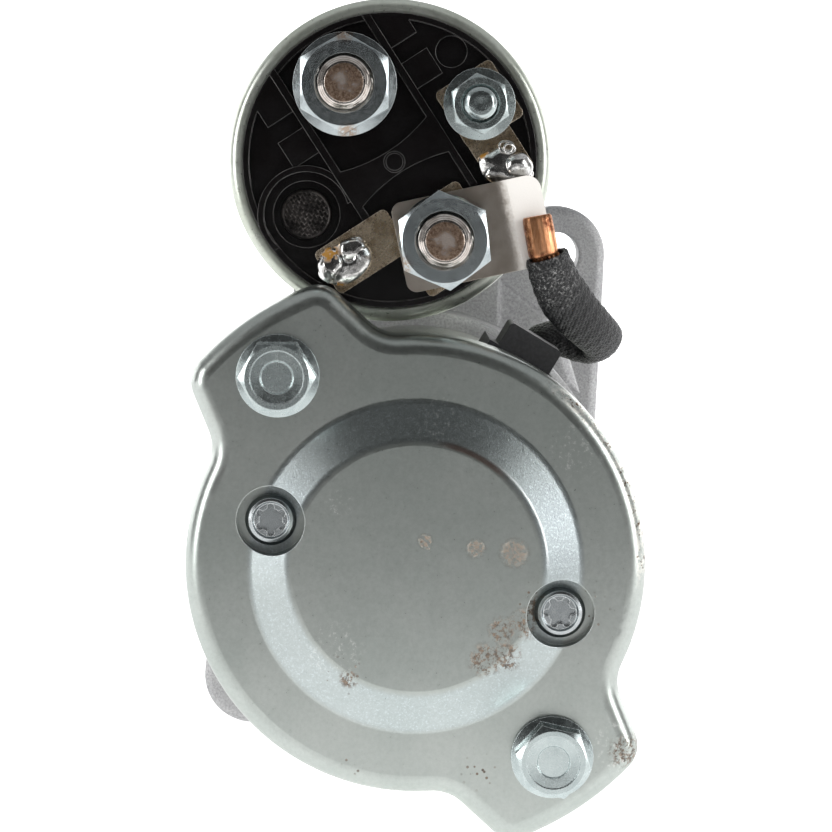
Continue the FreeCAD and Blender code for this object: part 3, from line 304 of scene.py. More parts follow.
def cover_finish():
    """Greenish zinc plate, grainy on the pressed band, with rust specks, scuffs and wear, and
    painted shade, glints and highlights.
    """
    finish = Finish("rear_cover_zinc", metallic=1.0)
    lines = finish.painted_edge_lines(0.2)
    distance = finish.from_axis(0, 0)
    band = ring_mask(finish, distance, BAND_INNER, BAND_OUTER, 1.0)
    patches = finish.span(finish.noise(16, 5, 0.6), 0.3, 0.7)
    fine = finish.noise(0.7, 5, 0.8)
    tint = finish.mix(patches, (0.43, 0.465, 0.44), (0.485, 0.515, 0.49))
    tint = finish.over(tint, (0.42, 0.48, 0.50), band, 0.45)
    shade = finish.span(fine, 0.3, 0.7, 0.93, 1.05)
    tint = finish.vector("SCALE", tint, scale=shade)
    # Painted shade: the band is darkened at its left and right sides
    sides = [finish.near((21.0, MARKS_Y, 5.0), 15.0, 0.8),
             finish.near((-20.0, MARKS_Y, 8.0), 11.0, 0.8)]
    painted_band_shade = finish.times(band, finish.most(sides))
    tint = finish.over(tint, (0.27, 0.30, 0.31), painted_band_shade, 0.8)
    # Painted glints: pale bluish specks on the band
    painted_band_glints = finish.times(finish.span(finish.noise(0.3, 3, 0.7), 0.5, 0.72), band)
    tint = finish.over(tint, (0.74, 0.82, 0.85), painted_band_glints, 0.45)

    rim = ring_mask(finish, distance, 33.2, 35.5, 0.3)
    worn_side = finish.times(rim, finish.near((30.5, MARKS_Y, 14.0), 19.0, 0.3))
    worn = finish.times(worn_side, finish.span(finish.noise(0.9, 4, 0.8), 0.44, 0.56))
    tint = finish.over(tint, (0.80, 0.78, 0.72), worn, 0.75)
    chips = finish.span(finish.noise(1.3, 4, 0.8), 0.56, 0.62)
    chipped = finish.times(worn_side, chips)
    tint = finish.mix(chipped, tint, (0.10, 0.06, 0.035))
    seam = ring_mask(finish, distance, 18.9, 19.2, 0.5)
    rusty_arc = finish.times(seam, finish.near((8.8, PLATEAU_Y, 16.9), 7.0, 0.6))
    tint = finish.over(tint, (0.25, 0.10, 0.06), rusty_arc, 0.55)
    # Painted highlight: a thin pale arc along the band's inner crease, at the upper right
    crease = ring_mask(finish, distance, 19.55, 19.7, 0.12)
    painted_crease_highlight = finish.times(crease, finish.near((17.6, PLATEAU_Y, 8.6), 10.0, 0.5))
    tint = finish.over(tint, (0.85, 0.88, 0.88), painted_crease_highlight, 0.7)

    dots = specks(finish, 1.1, 0.24, [(1.4, 4.2, 2.0), (-10.8, -16.0, 4.0), (-9.0, -29.5, 2.6),
                                      (16.5, -4.5, 3.5), (9.5, -31.0, 3.5), (26.0, -7.0, 4.0)])
    spots = blotches(finish, 0.5, 0.45, [(1.4, 4.2, 1.4), (8.9, 3.1, 1.8), (14.6, 2.4, 2.7)])
    stains = blotches(finish, 0.9, 0.48, [(12.8, -9.2, 2.6), (16.2, -8.2, 3.0), (10.4, -13.6, 3.2),
                                          (13.4, -13.2, 3.0), (18.4, -6.4, 2.0),
                                          (-10.0, -16.5, 1.8), (31.5, -28.0, 3.2)])
    rust = finish.most([dots, stains, finish.times(spots, 0.85)])
    brown = finish.mix(finish.span(finish.noise(0.5, 4, 0.8), 0.4, 0.6), (0.03, 0.016, 0.008),
                       (0.16, 0.095, 0.052))
    tint = finish.over(tint, brown, rust, 0.9)
    pale = blotches(finish, 0.7, 0.56, [(3.6, 22.0, 4.5), (-11.3, 9.8, 2.4), (-33.5, 31.0, 5.0),
                                        (30.5, -27.0, 5.0), (24.0, 17.5, 5.0), (-12.0, -12.0, 5.0)])
    tint = finish.over(tint, (0.86, 0.87, 0.84), pale, 0.5)
    # Painted highlights: pale, less metallic lines along the edges
    tint = finish.over(tint, (0.80, 0.84, 0.82), lines, 0.6)
    finish.set("Base Color", tint)
    dull = finish.math("MAXIMUM", rust, finish.times(lines, 0.6))
    finish.set("Metallic", finish.span(dull, 0.2, 0.8, 1.0, 0.15))
    finish.set("Roughness", finish.span(fine, 0.25, 0.8, 0.27, 0.36))
    finish.bump(finish.noise(0.35, 3, 0.7), 0.006)
    finish.bump(finish.times(finish.noise(0.28, 3, 0.8), band), 0.03)
    return finish


def case_finish():
    """The solenoid's can: pale greenish zinc that scatters more light than the cover."""
    return plated("case_zinc", (0.50, 0.53, 0.46), (0.62, 0.65, 0.59), 0.3, 0.004, 0.2, 7, 0.86)


def screw_finish():
    """The two small screws: painted highlight lines round the star sockets."""
    finish = Finish("screw_plate", metallic=1.0)
    lines = finish.painted_edge_lines(0.16)
    patches = finish.span(finish.noise(2, 4), 0.3, 0.7)
    tint = finish.mix(patches, (0.42, 0.45, 0.46), (0.50, 0.53, 0.54))
    # Painted highlights along the edges
    finish.paint_edge_highlights(lines, tint, (0.90, 0.93, 0.93), 0.95)
    finish.set("Roughness", 0.26)
    return finish


def nut_finish():
    """Bright plate, worn brown at two corners of the battery nut and one of the motor nut."""
    finish = plated("nut_plate", (0.45, 0.50, 0.515), (0.55, 0.60, 0.61), 0.22, 0, 0.1, 5)
    tint = finish.tint()
    corners = []
    for x, z in ((BATTERY_STUD[0], BATTERY_STUD[1] + 7.3),
                 (BATTERY_STUD[0] + 0.5, BATTERY_STUD[1] - 7.3),
                 (MOTOR_STUD[0] - 6.4, MOTOR_STUD[1] - 3.8)):
        corners.append(finish.span(finish.from_axis(x, z), 0.8, 1.9, 1.0, 0.0))
    worn = finish.times(finish.most(corners), finish.span(finish.noise(0.7, 5, 0.8), 0.38, 0.55))
    tint = finish.over(tint, (0.34, 0.24, 0.17), worn, 0.8)
    finish.set("Base Color", tint)
    return finish


def stud_finish():
    """Tinned copper studs with brown, speckled end faces."""
    finish = Finish("stud_plate", metallic=1.0)
    axes = [finish.from_axis(*BATTERY_STUD), finish.from_axis(*MOTOR_STUD)]
    centre = finish.math("MINIMUM", *axes)
    fine = finish.noise(0.45, 5, 0.8)
    broad = finish.noise(1.8, 4, 0.7)
    plate = finish.mix(finish.span(broad, 0.35, 0.65), (0.49, 0.435, 0.395), (0.68, 0.635, 0.595))
    brown = finish.mix(finish.span(fine, 0.35, 0.68), (0.14, 0.09, 0.06), (0.40, 0.29, 0.22))
    face = finish.span(centre, 2.75, 2.95, 1.0, 0.0)
    middle = finish.span(finish.math("ADD", centre, finish.span(broad, 0.3, 0.7, -1.0, 1.2)),
                         0.5, 2.0, 1.0, 0.0)
    brown = finish.over(brown, (0.62, 0.56, 0.52), middle, 0.6)
    rings = finish.math("SINE", finish.times(centre, 22.0))
    plate = finish.vector("SCALE", plate, scale=finish.span(rings, -1, 1, 0.72, 1.1))
    finish.set("Base Color", finish.mix(face, plate, brown))
    finish.set("Roughness", finish.span(face, 0, 1, 0.2, 0.38))
    finish.bump(finish.times(fine, face), 0.07)
    finish.bump(broad, 0.04)
    return finish


def strap_finish():
    """The strap: brownish where it is tinned thin; past the bend paler, grainy and less metallic,
    which is a painted highlight.
    """
    finish = Finish("strap_plate", metallic=1.0)
    lines = finish.painted_edge_lines(0.12)
    ahead = (math.cos(STRAP_TURN), 0, math.sin(STRAP_TURN))
    start = MOTOR_STUD[0] * ahead[0] + MOTOR_STUD[1] * ahead[2]
    along = finish.math("SUBTRACT", finish.vector("DOT_PRODUCT", finish.place, ahead), start)
    grains = finish.noise(0.3, 3, 0.7)
    edge = finish.math("ADD", along, finish.span(grains, 0.3, 0.7, -0.35, 0.35))
    # Painted highlight: past the bend the strap turns paler and less metallic
    bright = finish.span(edge, 9.0, 11.6)
    soft = finish.span(finish.noise(3, 4), 0.35, 0.65)
    dull = finish.mix(soft, (0.46, 0.40, 0.34), (0.56, 0.50, 0.44))
    tint = finish.mix(bright, dull, (0.66, 0.635, 0.60))
    # Painted highlights along the edges
    finish.set("Base Color", finish.over(tint, (0.86, 0.80, 0.72), lines, 0.7))
    finish.set("Metallic", finish.span(bright, 0, 1, 1.0, 0.1))
    finish.set("Roughness", finish.span(bright, 0, 1, 0.3, 0.5))
    finish.bump(grains, 0.02)
    return finish


def plate_finish():
    """The coil's terminal plates: thin tin over brass, darker in patches."""
    finish = edged_metal("plate_tin", (0.34, 0.26, 0.17), (0.56, 0.46, 0.34), 0.26, 0.01, 2.5, 0.15)
    tint = finish.tint()
    stain = finish.span(finish.noise(2.2, 5, 0.7), 0.56, 0.72)
    finish.set("Base Color", finish.over(tint, (0.16, 0.10, 0.06), stain, 0.6))
    return finish


def solder_finish():
    """Shiny solder with amber flux at its edges and dark, scorched spots."""
    finish = Finish("solder_shine", metallic=1.0)
    broad = finish.noise(1.4, 4, 0.7)
    tint = finish.mix(finish.span(broad, 0.35, 0.6), (0.42, 0.41, 0.40), (0.86, 0.85, 0.83))
    x, y, z = LEFT_SOLDER
    zones = [finish.near((x - 2.4, y - 1.4, z + 1.7), 2.3), finish.near((x - 1.0, y, z - 4.0), 1.8),
             finish.near((RIGHT_SOLDER[0] - 3.6, RIGHT_SOLDER[1], RIGHT_SOLDER[2] + 1.0), 1.3)]
    flux = finish.times(finish.most(zones), finish.span(finish.noise(0.8, 4), 0.42, 0.52))
    tint = finish.mix(flux, tint, (0.30, 0.15, 0.03))
    # Dark spots of scorched flux
    burn_and_painted_shade = finish.span(finish.noise(0.9, 5, 0.8), 0.6, 0.66)
    tint = finish.over(tint, (0.03, 0.025, 0.02), burn_and_painted_shade, 0.85)
    finish.set("Base Color", tint)
    finish.set("Metallic", finish.span(flux, 0, 1, 1.0, 0.2))
    finish.set("Roughness", 0.18)
    finish.bump(finish.noise(1.2, 2, 0.5), 0.05)
    return finish


def lead_finish():
    """Bare copper: orange and brushed on the weld, with painted shade at its left side, top corner
    and foot; amber strands below.
    """
    finish = Finish("lead_copper", metallic=1.0)
    lines = finish.vector("MULTIPLY", finish.place, (3.2, 3.2, 0.35))
    streaks = finish.noise(0.7, 4, 0.7, at=lines)
    tint = finish.mix(finish.span(streaks, 0.3, 0.7), (0.56, 0.23, 0.10), (0.88, 0.46, 0.25))
    # Painted shade: the pad is darkened at its left side, its top corner and its foot
    across = finish.math("SUBTRACT", finish.vector("DOT_PRODUCT", finish.place, PAD_WIDE),
                         sum(p * w for p, w in zip(PAD_MIDDLE, PAD_WIDE)))
    left_side = finish.times(finish.span(across, -2.2, -1.3, 1.0, 0.0),
                             finish.span(finish.part(2), 44.0, 45.5))
    top_corner = finish.near((20.4, -129.8, 51.3), 2.0)
    foot = finish.near((19.6, -130.5, 45.8), 1.3)
    burn_and_painted_shade = finish.most([left_side, top_corner, foot])
    burn_and_painted_shade = finish.times(burn_and_painted_shade, finish.span(finish.noise(0.9, 4, 0.8), 0.3, 0.6))
    finish.set("Base Color", finish.over(tint, (0.11, 0.028, 0.016), burn_and_painted_shade, 0.9))
    finish.set("Roughness", finish.span(streaks, 0.3, 0.7, 0.42, 0.32))
    finish.bump(streaks, 0.012)
    return finish


def cap_finish():
    """Glossy black phenolic with slightly paler edges, a painted highlight of uneven strength."""
    finish = Finish("cap_phenolic")
    lines = finish.painted_edge_lines(0.16)
    dust = finish.span(finish.noise(0.5, 4, 0.8), 0.62, 0.72)
    tint = finish.mix(finish.times(dust, 0.25), (0.0025, 0.002, 0.002), (0.015, 0.014, 0.013))
    # Painted highlights along the edges, stronger in patches
    lines = finish.times(lines, finish.span(finish.noise(2.5, 4), 0.3, 0.6, 0.25, 1.0))
    finish.set("Base Color", finish.over(tint, (0.17, 0.165, 0.16), lines, 0.8))
    finish.set("Specular IOR Level", 0.35)
    finish.set("Roughness", finish.span(finish.noise(4, 4), 0.3, 0.7, 0.14, 0.24))
    finish.bump(finish.noise(2.5, 3), 0.02)
    return finish


def cast(name):
    """Blasted die-cast aluminium: an even fine grain and slightly darker hollows."""
    finish = Finish(name, metallic=0.8)
    finish.round_edges(1.1)
    grain = finish.noise(0.4, 3, 0.75)
    tint = finish.mix(finish.span(finish.noise(8, 5, 0.6), 0.3, 0.7),
                      (0.39, 0.39, 0.395), (0.46, 0.46, 0.46))
    shade = finish.span(grain, 0.32, 0.68, 0.78, 1.16)
    finish.set("Base Color", finish.vector("SCALE", tint, scale=shade))
    finish.set("Roughness", finish.span(grain, 0.3, 0.7, 0.62, 0.5))
    finish.bump(grain, 0.06)
    return finish


def moulded(name, colour, roughness, grain):
    """Moulded plastic with a slightly uneven shine."""
    finish = Finish(name)
    finish.round_edges(0.2)
    fine = finish.noise(0.6, 3)
    light = tuple(min(1.0, c * 1.5 + 0.003) for c in colour)
    finish.set("Base Color", finish.mix(finish.span(finish.noise(7, 4), 0.4, 0.7), colour, light))
    finish.set("Roughness", finish.span(finish.noise(5, 4), 0.3, 0.7, roughness - 0.04,
                                        roughness + 0.06))
    finish.bump(fine, grain)
    return finish


def metal(name, dark, light, roughness, grain=0.01, size=6.0, edge=0.15):
    """Plain metal in two close tints with a fine grain."""
    finish = Finish(name, metallic=1.0)
    finish.round_edges(edge)
    finish.set("Base Color", finish.mix(finish.span(finish.noise(size, 5), 0.35, 0.65), dark,
                                        light))
    fine = finish.noise(0.5, 4, 0.7)
    finish.set("Roughness", finish.span(fine, 0.3, 0.7, roughness - 0.04, roughness + 0.07))
    finish.bump(fine, grain)
    return finish


def edged_metal(name, dark, light, roughness, grain, size, edge):
    """The same metal with painted highlight lines along its edges."""
    finish = metal(name, dark, light, roughness, grain, size, edge)
    lines = finish.painted_edge_lines(edge)
    tint = finish.tint()
    # Painted highlights: pale lines along the edges
    finish.paint_edge_highlights(lines, tint, (0.80, 0.72, 0.60), 0.7)
    return finish


def rough_solid(name, dark, light, roughness, grain):
    """A grainy solid such as rubber, ferrite or carbon."""
    finish = Finish(name)
    finish.round_edges(0.2)
    fine = finish.noise(0.5, 4, 0.7)
    finish.set("Base Color", finish.mix(finish.span(fine, 0.35, 0.65), dark, light))
    finish.set("Roughness", roughness)
    finish.bump(fine, grain)
    return finish


def yarn_finish():
    """Black glass-fibre yarn with painted glints: pale specks near the sleeve's mouth."""
    finish = Finish("sleeve_yarn")
    fine = finish.noise(0.25, 3, 0.8)
    # Painted glints: pale specks on the yarn near the mouth
    zone = finish.near((20.5, -129.5, 42.0), 7.0, 0.8)
    painted_yarn_glints = finish.times(finish.span(finish.noise(0.45, 3, 0.8), 0.52, 0.66), zone)
    tint = finish.mix(finish.span(fine, 0.4, 0.7), (0.004, 0.004, 0.0045), (0.014, 0.014, 0.015))
    finish.set("Base Color", finish.over(tint, (0.34, 0.34, 0.33), painted_yarn_glints, 0.6))
    finish.set("Roughness", 0.36)
    finish.bump(fine, 0.03)
    return finish


FINISHES = {
    "cast_aluminium": cast("cast_aluminium"),
    "zinc_steel": plated("zinc_steel", (0.50, 0.52, 0.48), (0.56, 0.575, 0.54), 0.3),
    "zinc_fasteners": plated("zinc_fasteners", (0.43, 0.49, 0.49), (0.53, 0.59, 0.585), 0.24, 0,
                             0.12, 5),
    "phenolic": cap_finish(),
    "tinned_studs": stud_finish(),
    "tinned_plate": plate_finish(),
    "solder": solder_finish(),
    "nickel_strap": strap_finish(),
    "copper": lead_finish(),
    "enamelled_copper": metal("enamelled_copper", (0.36, 0.10, 0.03), (0.52, 0.18, 0.06), 0.22),
    "woven_sleeve": yarn_finish(),
    "rubber": rough_solid("rubber", (0.008, 0.008, 0.009), (0.016, 0.016, 0.017), 0.55, 0.01),
    "steel": metal("steel", (0.40, 0.40, 0.40), (0.56, 0.56, 0.56), 0.28),
    "bronze": metal("bronze", (0.40, 0.26, 0.12), (0.58, 0.40, 0.20), 0.4),
    "black_nylon": moulded("black_nylon", (0.012, 0.012, 0.012), 0.42, 0.01),
    "ferrite": rough_solid("ferrite", (0.03, 0.03, 0.035), (0.07, 0.07, 0.075), 0.6, 0.02),
    "carbon": rough_solid("carbon", (0.03, 0.026, 0.024), (0.10, 0.07, 0.05), 0.5, 0.02),
    "laminated_steel": metal("laminated_steel", (0.16, 0.16, 0.17), (0.30, 0.30, 0.30), 0.42),
}
OWN_FINISH = {
    "rear_cover": cover_finish(),
    "solenoid_case": case_finish(),
    "brush_plate_screws": screw_finish(),
    "main_stud_nuts": nut_finish(),
    "vent_wire": metal("vent_wire", (0.03, 0.028, 0.027), (0.11, 0.10, 0.095), 0.3, 0.0, 2.5, 0.02),
}
MADE = {name: finish.done() for name, finish in {**FINISHES, **OWN_FINISH}.items()}


SLOT_OF = {subpart["node"]: subpart["material_slot"] for subpart in frame["record"]["subparts"]}
for node, node_slot in SLOT_OF.items():
    materials = frame["nodes"][node].data.materials
    materials.clear()
    materials.append(MADE[node if node in OWN_FINISH else node_slot])


# ---------------------------------------------------------------- building meshes

class Shape:
    """A mesh made of closed shells, in millimetres in the part's frame."""

    def __init__(self):
        self.points = []
        self.faces = []

    def rings(self, rings, loop=False):
        """Joins rings of equally many points into a tube, closed by end faces or into a loop."""
        rings = np.asarray(rings, dtype=float)
        count, around = rings.shape[:2]
        start = len(self.points)
        self.points.extend(map(tuple, rings.reshape(-1, 3)))
        last = count if loop else count - 1
        for i in range(last):
            here = start + i * around
            there = start + (i + 1) % count * around
            for j in range(around):
                k = (j + 1) % around
                self.faces.append((here + j, here + k, there + k, there + j))
        if not loop:
            self.faces.append(tuple(start + j for j in reversed(range(around))))
            self.faces.append(tuple(start + (count - 1) * around + j for j in range(around)))

    def piece(self, name, finish, replaced, sharp=35.0):
        """Makes the mesh, on the fixed body, in place of a simpler node."""
        mesh = bpy.data.meshes.new(name)
        mesh.from_pydata([(x * MM, y * MM, z * MM) for x, y, z in self.points], [], self.faces)
        mesh.validate()
        obj = bpy.data.objects.new(name, mesh)
        bpy.context.scene.collection.objects.link(obj)
        tidy = bmesh.new()
        tidy.from_mesh(mesh)
        bmesh.ops.recalc_face_normals(tidy, faces=tidy.faces)
        tidy.to_mesh(mesh)
        tidy.free()
        mesh.shade_smooth()
        mesh.set_sharp_from_angle(angle=math.radians(sharp))
        mesh.materials.append(finish)
        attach(obj, "root")
        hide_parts(replaced)


def unit(vectors):
    """The vectors, each made 1 long."""
    vectors = np.asarray(vectors, dtype=float)
    return vectors / np.linalg.norm(vectors, axis=-1, keepdims=True)


def smooth_route(points, step):
    """Evenly spaced points along the route's NURBS line."""
    data = bpy.data.curves.new("route", "CURVE")
    data.dimensions = "3D"
    data.resolution_u = 32
    spline = data.splines.new("NURBS")
    spline.points.add(len(points) - 1)
    for place, point in zip(points, spline.points):
        point.co = (*place, 1.0)
    spline.order_u = 3
    spline.use_endpoint_u = True
    holder = bpy.data.objects.new("route", data)
    line = bpy.data.meshes.new_from_object(holder)
    path = np.array([tuple(v.co) for v in line.vertices])
    bpy.data.objects.remove(holder)
    bpy.data.meshes.remove(line)
    along = np.concatenate([[0], np.cumsum(np.linalg.norm(np.diff(path, axis=0), axis=1))])
    stops = np.linspace(0, along[-1], int(along[-1] / step) + 1)
    return stops, np.stack([np.interp(stops, along, path[:, k]) for k in range(3)], axis=1)


def carried_axes(path, first):
    """Two axes across the path at each of its points, carried along it with no twist."""
    tangents = unit(np.gradient(path, axis=0))
    wide = np.zeros_like(path)
    axis = np.asarray(first, dtype=float)
    for i, tangent in enumerate(tangents):
        axis = unit(axis - tangent * axis.dot(tangent))
        wide[i] = axis
    return tangents, wide, np.cross(tangents, wide)


def circle(count):
    """Cosines and sines of equally spaced angles."""
    angles = np.linspace(0, 2 * math.pi, count, endpoint=False)
    return np.cos(angles), np.sin(angles)


def tube(shape, path, radius, sides=6, loop=False, first=(0.3, 0.2, 0.93)):
    """A round bar along the path, with closed ends, or a closed loop about a line along Y."""
    tangents, across, other = carried_axes(path, first)
    if loop:
        tangents = unit(np.roll(path, -1, axis=0) - np.roll(path, 1, axis=0))
        across = unit(np.cross(tangents, (0, 1, 0)))
        other = np.cross(tangents, across)
    radius = np.broadcast_to(radius, len(path))[:, None, None]
    c, s = circle(sides)
    rings = path[:, None] + radius * (across[:, None] * c[None, :, None]
                                      + other[:, None] * s[None, :, None])
    shape.rings(rings, loop)


def turned(shape, axis, profile, around=64, thread=None):
    """A turned piece about a line along Y.  The profile holds (y, radius) pairs.  A thread is
    (y from, y to, crest radius, depth, pitch) and is cut as a helix."""
    c, s = circle(around)
    angles = np.arange(around) / around
    rows = list(profile)
    if thread:
        start, end, crest, depth, pitch = thread
        cuts = np.arange(start, end, -pitch / 8)
        rows = [row for row in rows if row[0] > start] + [
            (y, np.interp(-y, [-row[0] for row in profile], [row[1] for row in profile]))
            for y in cuts] + [row for row in rows if row[0] <= end]
    rings = []
    for y, radius in rows:
        outline = np.full(around, float(radius))
        if thread and start >= y >= end - 0.001:
            phase = (-y / pitch + angles) % 1.0
            groove = np.clip(np.abs(phase - 0.5) * 2.6 - 0.15, 0, 1)
            outline = np.minimum(outline, crest - depth * (1 - groove))
        rings.append(np.stack([axis[0] + outline * c, np.full(around, y),
                               axis[1] + outline * s], axis=1))
    shape.rings(rings)


# ---------------------------------------------------------------- detailed pieces

def threaded_main_studs():
    """The two main studs: round heads behind the cap, M8 threads and worn, domed ends."""
    shape = Shape()
    crest, nut_seat = 3.95, -128.0
    profile = [(-113.05, 0.1), (-113.05, 4.6), (-113.4, 5.2), (-115.5, 5.2), (-115.9, 4.7),
               (-115.9, crest), (nut_seat, crest), (-138.1, crest), (-138.98, 2.9), (-139.0, 2.8),
               (-139.0, 1.6), (-138.93, 0.7), (-138.9, 0.1)]
    for axis in (BATTERY_STUD, MOTOR_STUD):
        turned(shape, axis, profile, 72, (nut_seat, -138.95, crest, 0.5, M8_PITCH))
    shape.piece("threaded_main_studs", MADE["tinned_studs"], "main_studs")


def threaded_signal_stud():
    """The small stud: the same, with an M5 thread."""
    small = Shape()
    crest, nut_seat = 2.45, -124.4
    profile = [(-114.4, 0.1), (-114.4, 3.0), (-114.6, 3.2), (-115.7, 3.2), (-115.9, 3.0),
               (-115.9, crest), (nut_seat, crest), (-130.95, crest), (-131.35, 1.85),
               (-131.4, 1.75), (-131.4, 1.0), (-131.36, 0.4), (-131.35, 0.1)]
    turned(small, SIGNAL_STUD, profile, 56, (nut_seat, -131.2, crest, 0.33, M5_PITCH))
    small.piece("threaded_signal_stud", MADE["zinc_fasteners"], "signal_stud")


def sleeve_axes(along):
    """Half widths of the flattened sleeve: round in the grommet, flat and flared at its mouth."""
    share = (along - SLEEVE_START) / (SLEEVE_END - SLEEVE_START)
    wide = np.interp(share, [0, 0.2, 0.5, 0.8, 0.95, 1], [2.7, 2.9, 3.2, 3.75, 3.25, 3.0])
    flat = np.interp(share, [0, 0.2, 0.5, 0.8, 0.95, 1], [2.5, 2.2, 2.0, 1.9, 2.1, 2.2])
    return wide, flat


def woven_sleeve(along, path):
    """Two crossed sets of flat yarns, woven over and under, on a flattened tube."""
    # The axes are carried from the mouth inwards
    _, wide_axis, flat_axis = carried_axes(path[::-1], MOUTH_WIDE)
    wide_axis, flat_axis = wide_axis[::-1], flat_axis[::-1]
    half_wide, half_flat = sleeve_axes(along)
    shape = Shape()
    yarns = 26
    turn = 0.36
    lift = 0.085
    stand_off = 0.1
    # The yarn's cross-section: flat below, rounded above, pointed at its sides
    section = np.array([(-0.26, -0.02), (-0.13, 0.085), (0.13, 0.085), (0.26, -0.02), (0, -0.085)])
    for way in (1, -1):
        for yarn in range(yarns):
            angle = 2 * math.pi * yarn / yarns + way * turn * (along - along[0])
            wave = way * lift * np.cos(yarns * turn * (along - along[0]) + way * math.pi * yarn)
            crease = 0.05 * np.sin(3.1 * along + 2.0 * angle)
            raise_by = stand_off + wave + crease
            across = np.cos(angle)[:, None]
            up = np.sin(angle)[:, None]
            centre = path + wide_axis * across * (half_wide + raise_by)[:, None] + (
                flat_axis * up * (half_flat + raise_by)[:, None])
            outward = unit(wide_axis * across / half_wide[:, None]
                           + flat_axis * up / half_flat[:, None])
            ahead = unit(np.gradient(centre, axis=0))
            side = unit(np.cross(ahead, outward))
            rings = centre[:, None] + side[:, None] * section[None, :, :1] + (
                outward[:, None] * section[None, :, 1:])
            shape.rings(rings)
    c, s = circle(40)
    walls = []
    lining_outside, lining_inside = 0.05, 0.3
    for inset in (lining_outside, lining_inside):
        walls.append(path[:, None] + wide_axis[:, None] * (half_wide - inset)[:, None, None]
                     * c[None, :, None] + flat_axis[:, None]
                     * (half_flat - inset)[:, None, None] * s[None, :, None])
    lining = np.concatenate([walls[0], walls[1][::-1]])
    shape.rings(lining, loop=True)
    shape.piece("woven_sleeve", MADE["woven_sleeve"], "lead_sleeve", sharp=60)


def copper_lead(along, path):
    """The stranded lead: a core in the sleeve, loose strands at its mouth and the weld pad."""
    shape = Shape()
    core_radius, strand_radius, strands = 1.9, 0.15, 90
    core_depth, strand_depth = 4.0, 4.5
    inside = along < SLEEVE_END - core_depth
    tube(shape, path[inside][::3], core_radius, 20)
    rise = unit(PAD_RISE)
    wide = unit(PAD_WIDE)
    out = unit(np.cross(rise, wide))
    if out[1] > 0:
        out = -out
    middle = np.array(PAD_MIDDLE)
    half_long, half_wide, half_thick = 3.15, 2.25, 1.7
    count = 72
    c, s = circle(count)
    angles = np.arange(count) * 2 * math.pi / count
    ridges = 1 + 0.012 * np.sin(26 * angles)
    rings = []
    # The pad's ends are rounded, and it gets thinner towards its top
    for step in np.linspace(-1, 1, 25):
        end = (1 - abs(step) ** 8) ** 0.5 * 0.12 + 0.88
        thin = 1 - 0.10 * max(0.0, step)
        x = np.sign(c) * np.abs(c) ** 0.75 * half_wide * ridges * end
        y = np.sign(s) * np.abs(s) ** 0.8 * half_thick * ridges * end * thin
        centre = middle + rise * step * half_long
        rings.append(centre + wide * x[:, None] + out * y[:, None])
    shape.rings(rings)

    random.seed(12)
    index = int(np.argmin(np.abs(along - (SLEEVE_END - strand_depth))))
    mouth = int(np.argmin(np.abs(along - SLEEVE_END)))
    mouth_wide = unit(MOUTH_WIDE)
    heading = unit(path[mouth] - path[mouth - 8])
    mouth_flat = unit(np.cross(heading, mouth_wide))
    for _ in range(strands):
        angle = random.uniform(0, 2 * math.pi)
        reach = random.random() ** 0.5
        x, y = reach * math.cos(angle), reach * math.sin(angle)
        top = middle - rise * 2.7 + wide * 1.9 * x + out * 1.3 * y
        low = path[mouth] + mouth_wide * 2.5 * x - mouth_flat * 1.5 * y
        deep = path[index] + mouth_wide * 1.6 * x - mouth_flat * 1.2 * y
        bow = (mouth_wide * random.uniform(-0.35, 0.35) + mouth_flat * random.uniform(-0.3, 0.3))
        stops = np.linspace(0, 1, 8)[:, None]
        curve = (1 - stops) ** 2 * top + 2 * stops * (1 - stops) * (low + bow) + stops ** 2 * deep
        tube(shape, curve, strand_radius, 5)
    shape.piece("stranded_lead", MADE["copper"], "motor_lead", sharp=50)


def vent_screen():
    """A woven wire disc in its ring."""
    low, high = (Vector(corner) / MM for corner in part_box("cap_vent"))
    face = low.y + 0.35
    shape = Shape()
    pitch, radius, wire_radius = 0.56, 3.5, 0.1
    ring_middle, ring_radius, disc_radius = 3.62, 0.24, 3.7
    turn = math.radians(32)
    lines = int(radius / pitch)
    for way in (0, 1):
        for line in range(-lines, lines + 1):
            offset = line * pitch
            half = math.sqrt(radius ** 2 - offset ** 2)
            stops = np.linspace(-half, half, max(8, int(half * 2 / pitch * 5)))
            wave = 0.08 * np.cos(math.pi * (stops / pitch + line + way))
            x, z = (stops, offset + 0 * stops) if way == 0 else (offset + 0 * stops, stops)
            path = np.stack([VENT[0] + x * math.cos(turn) - z * math.sin(turn), face + wave,
                             VENT[1] + x * math.sin(turn) + z * math.cos(turn)], axis=1)
            tube(shape, path, wire_radius, 6, first=(0.02, 1.0, 0.03))
    back = high.y - 0.02
    front = face + 0.45
    turned(shape, VENT, [(back, 0.1), (back, disc_radius), (front, disc_radius), (front, 0.1)], 48)
    steps = np.linspace(0, 2 * math.pi, 64, endpoint=False)
    path = np.stack([VENT[0] + ring_middle * np.cos(steps), face + 0 * steps,
                     VENT[1] + ring_middle * np.sin(steps)], axis=1)
    tube(shape, path, ring_radius, 10, loop=True)
    shape.piece("vent_screen", MADE["vent_wire"], "cap_vent")


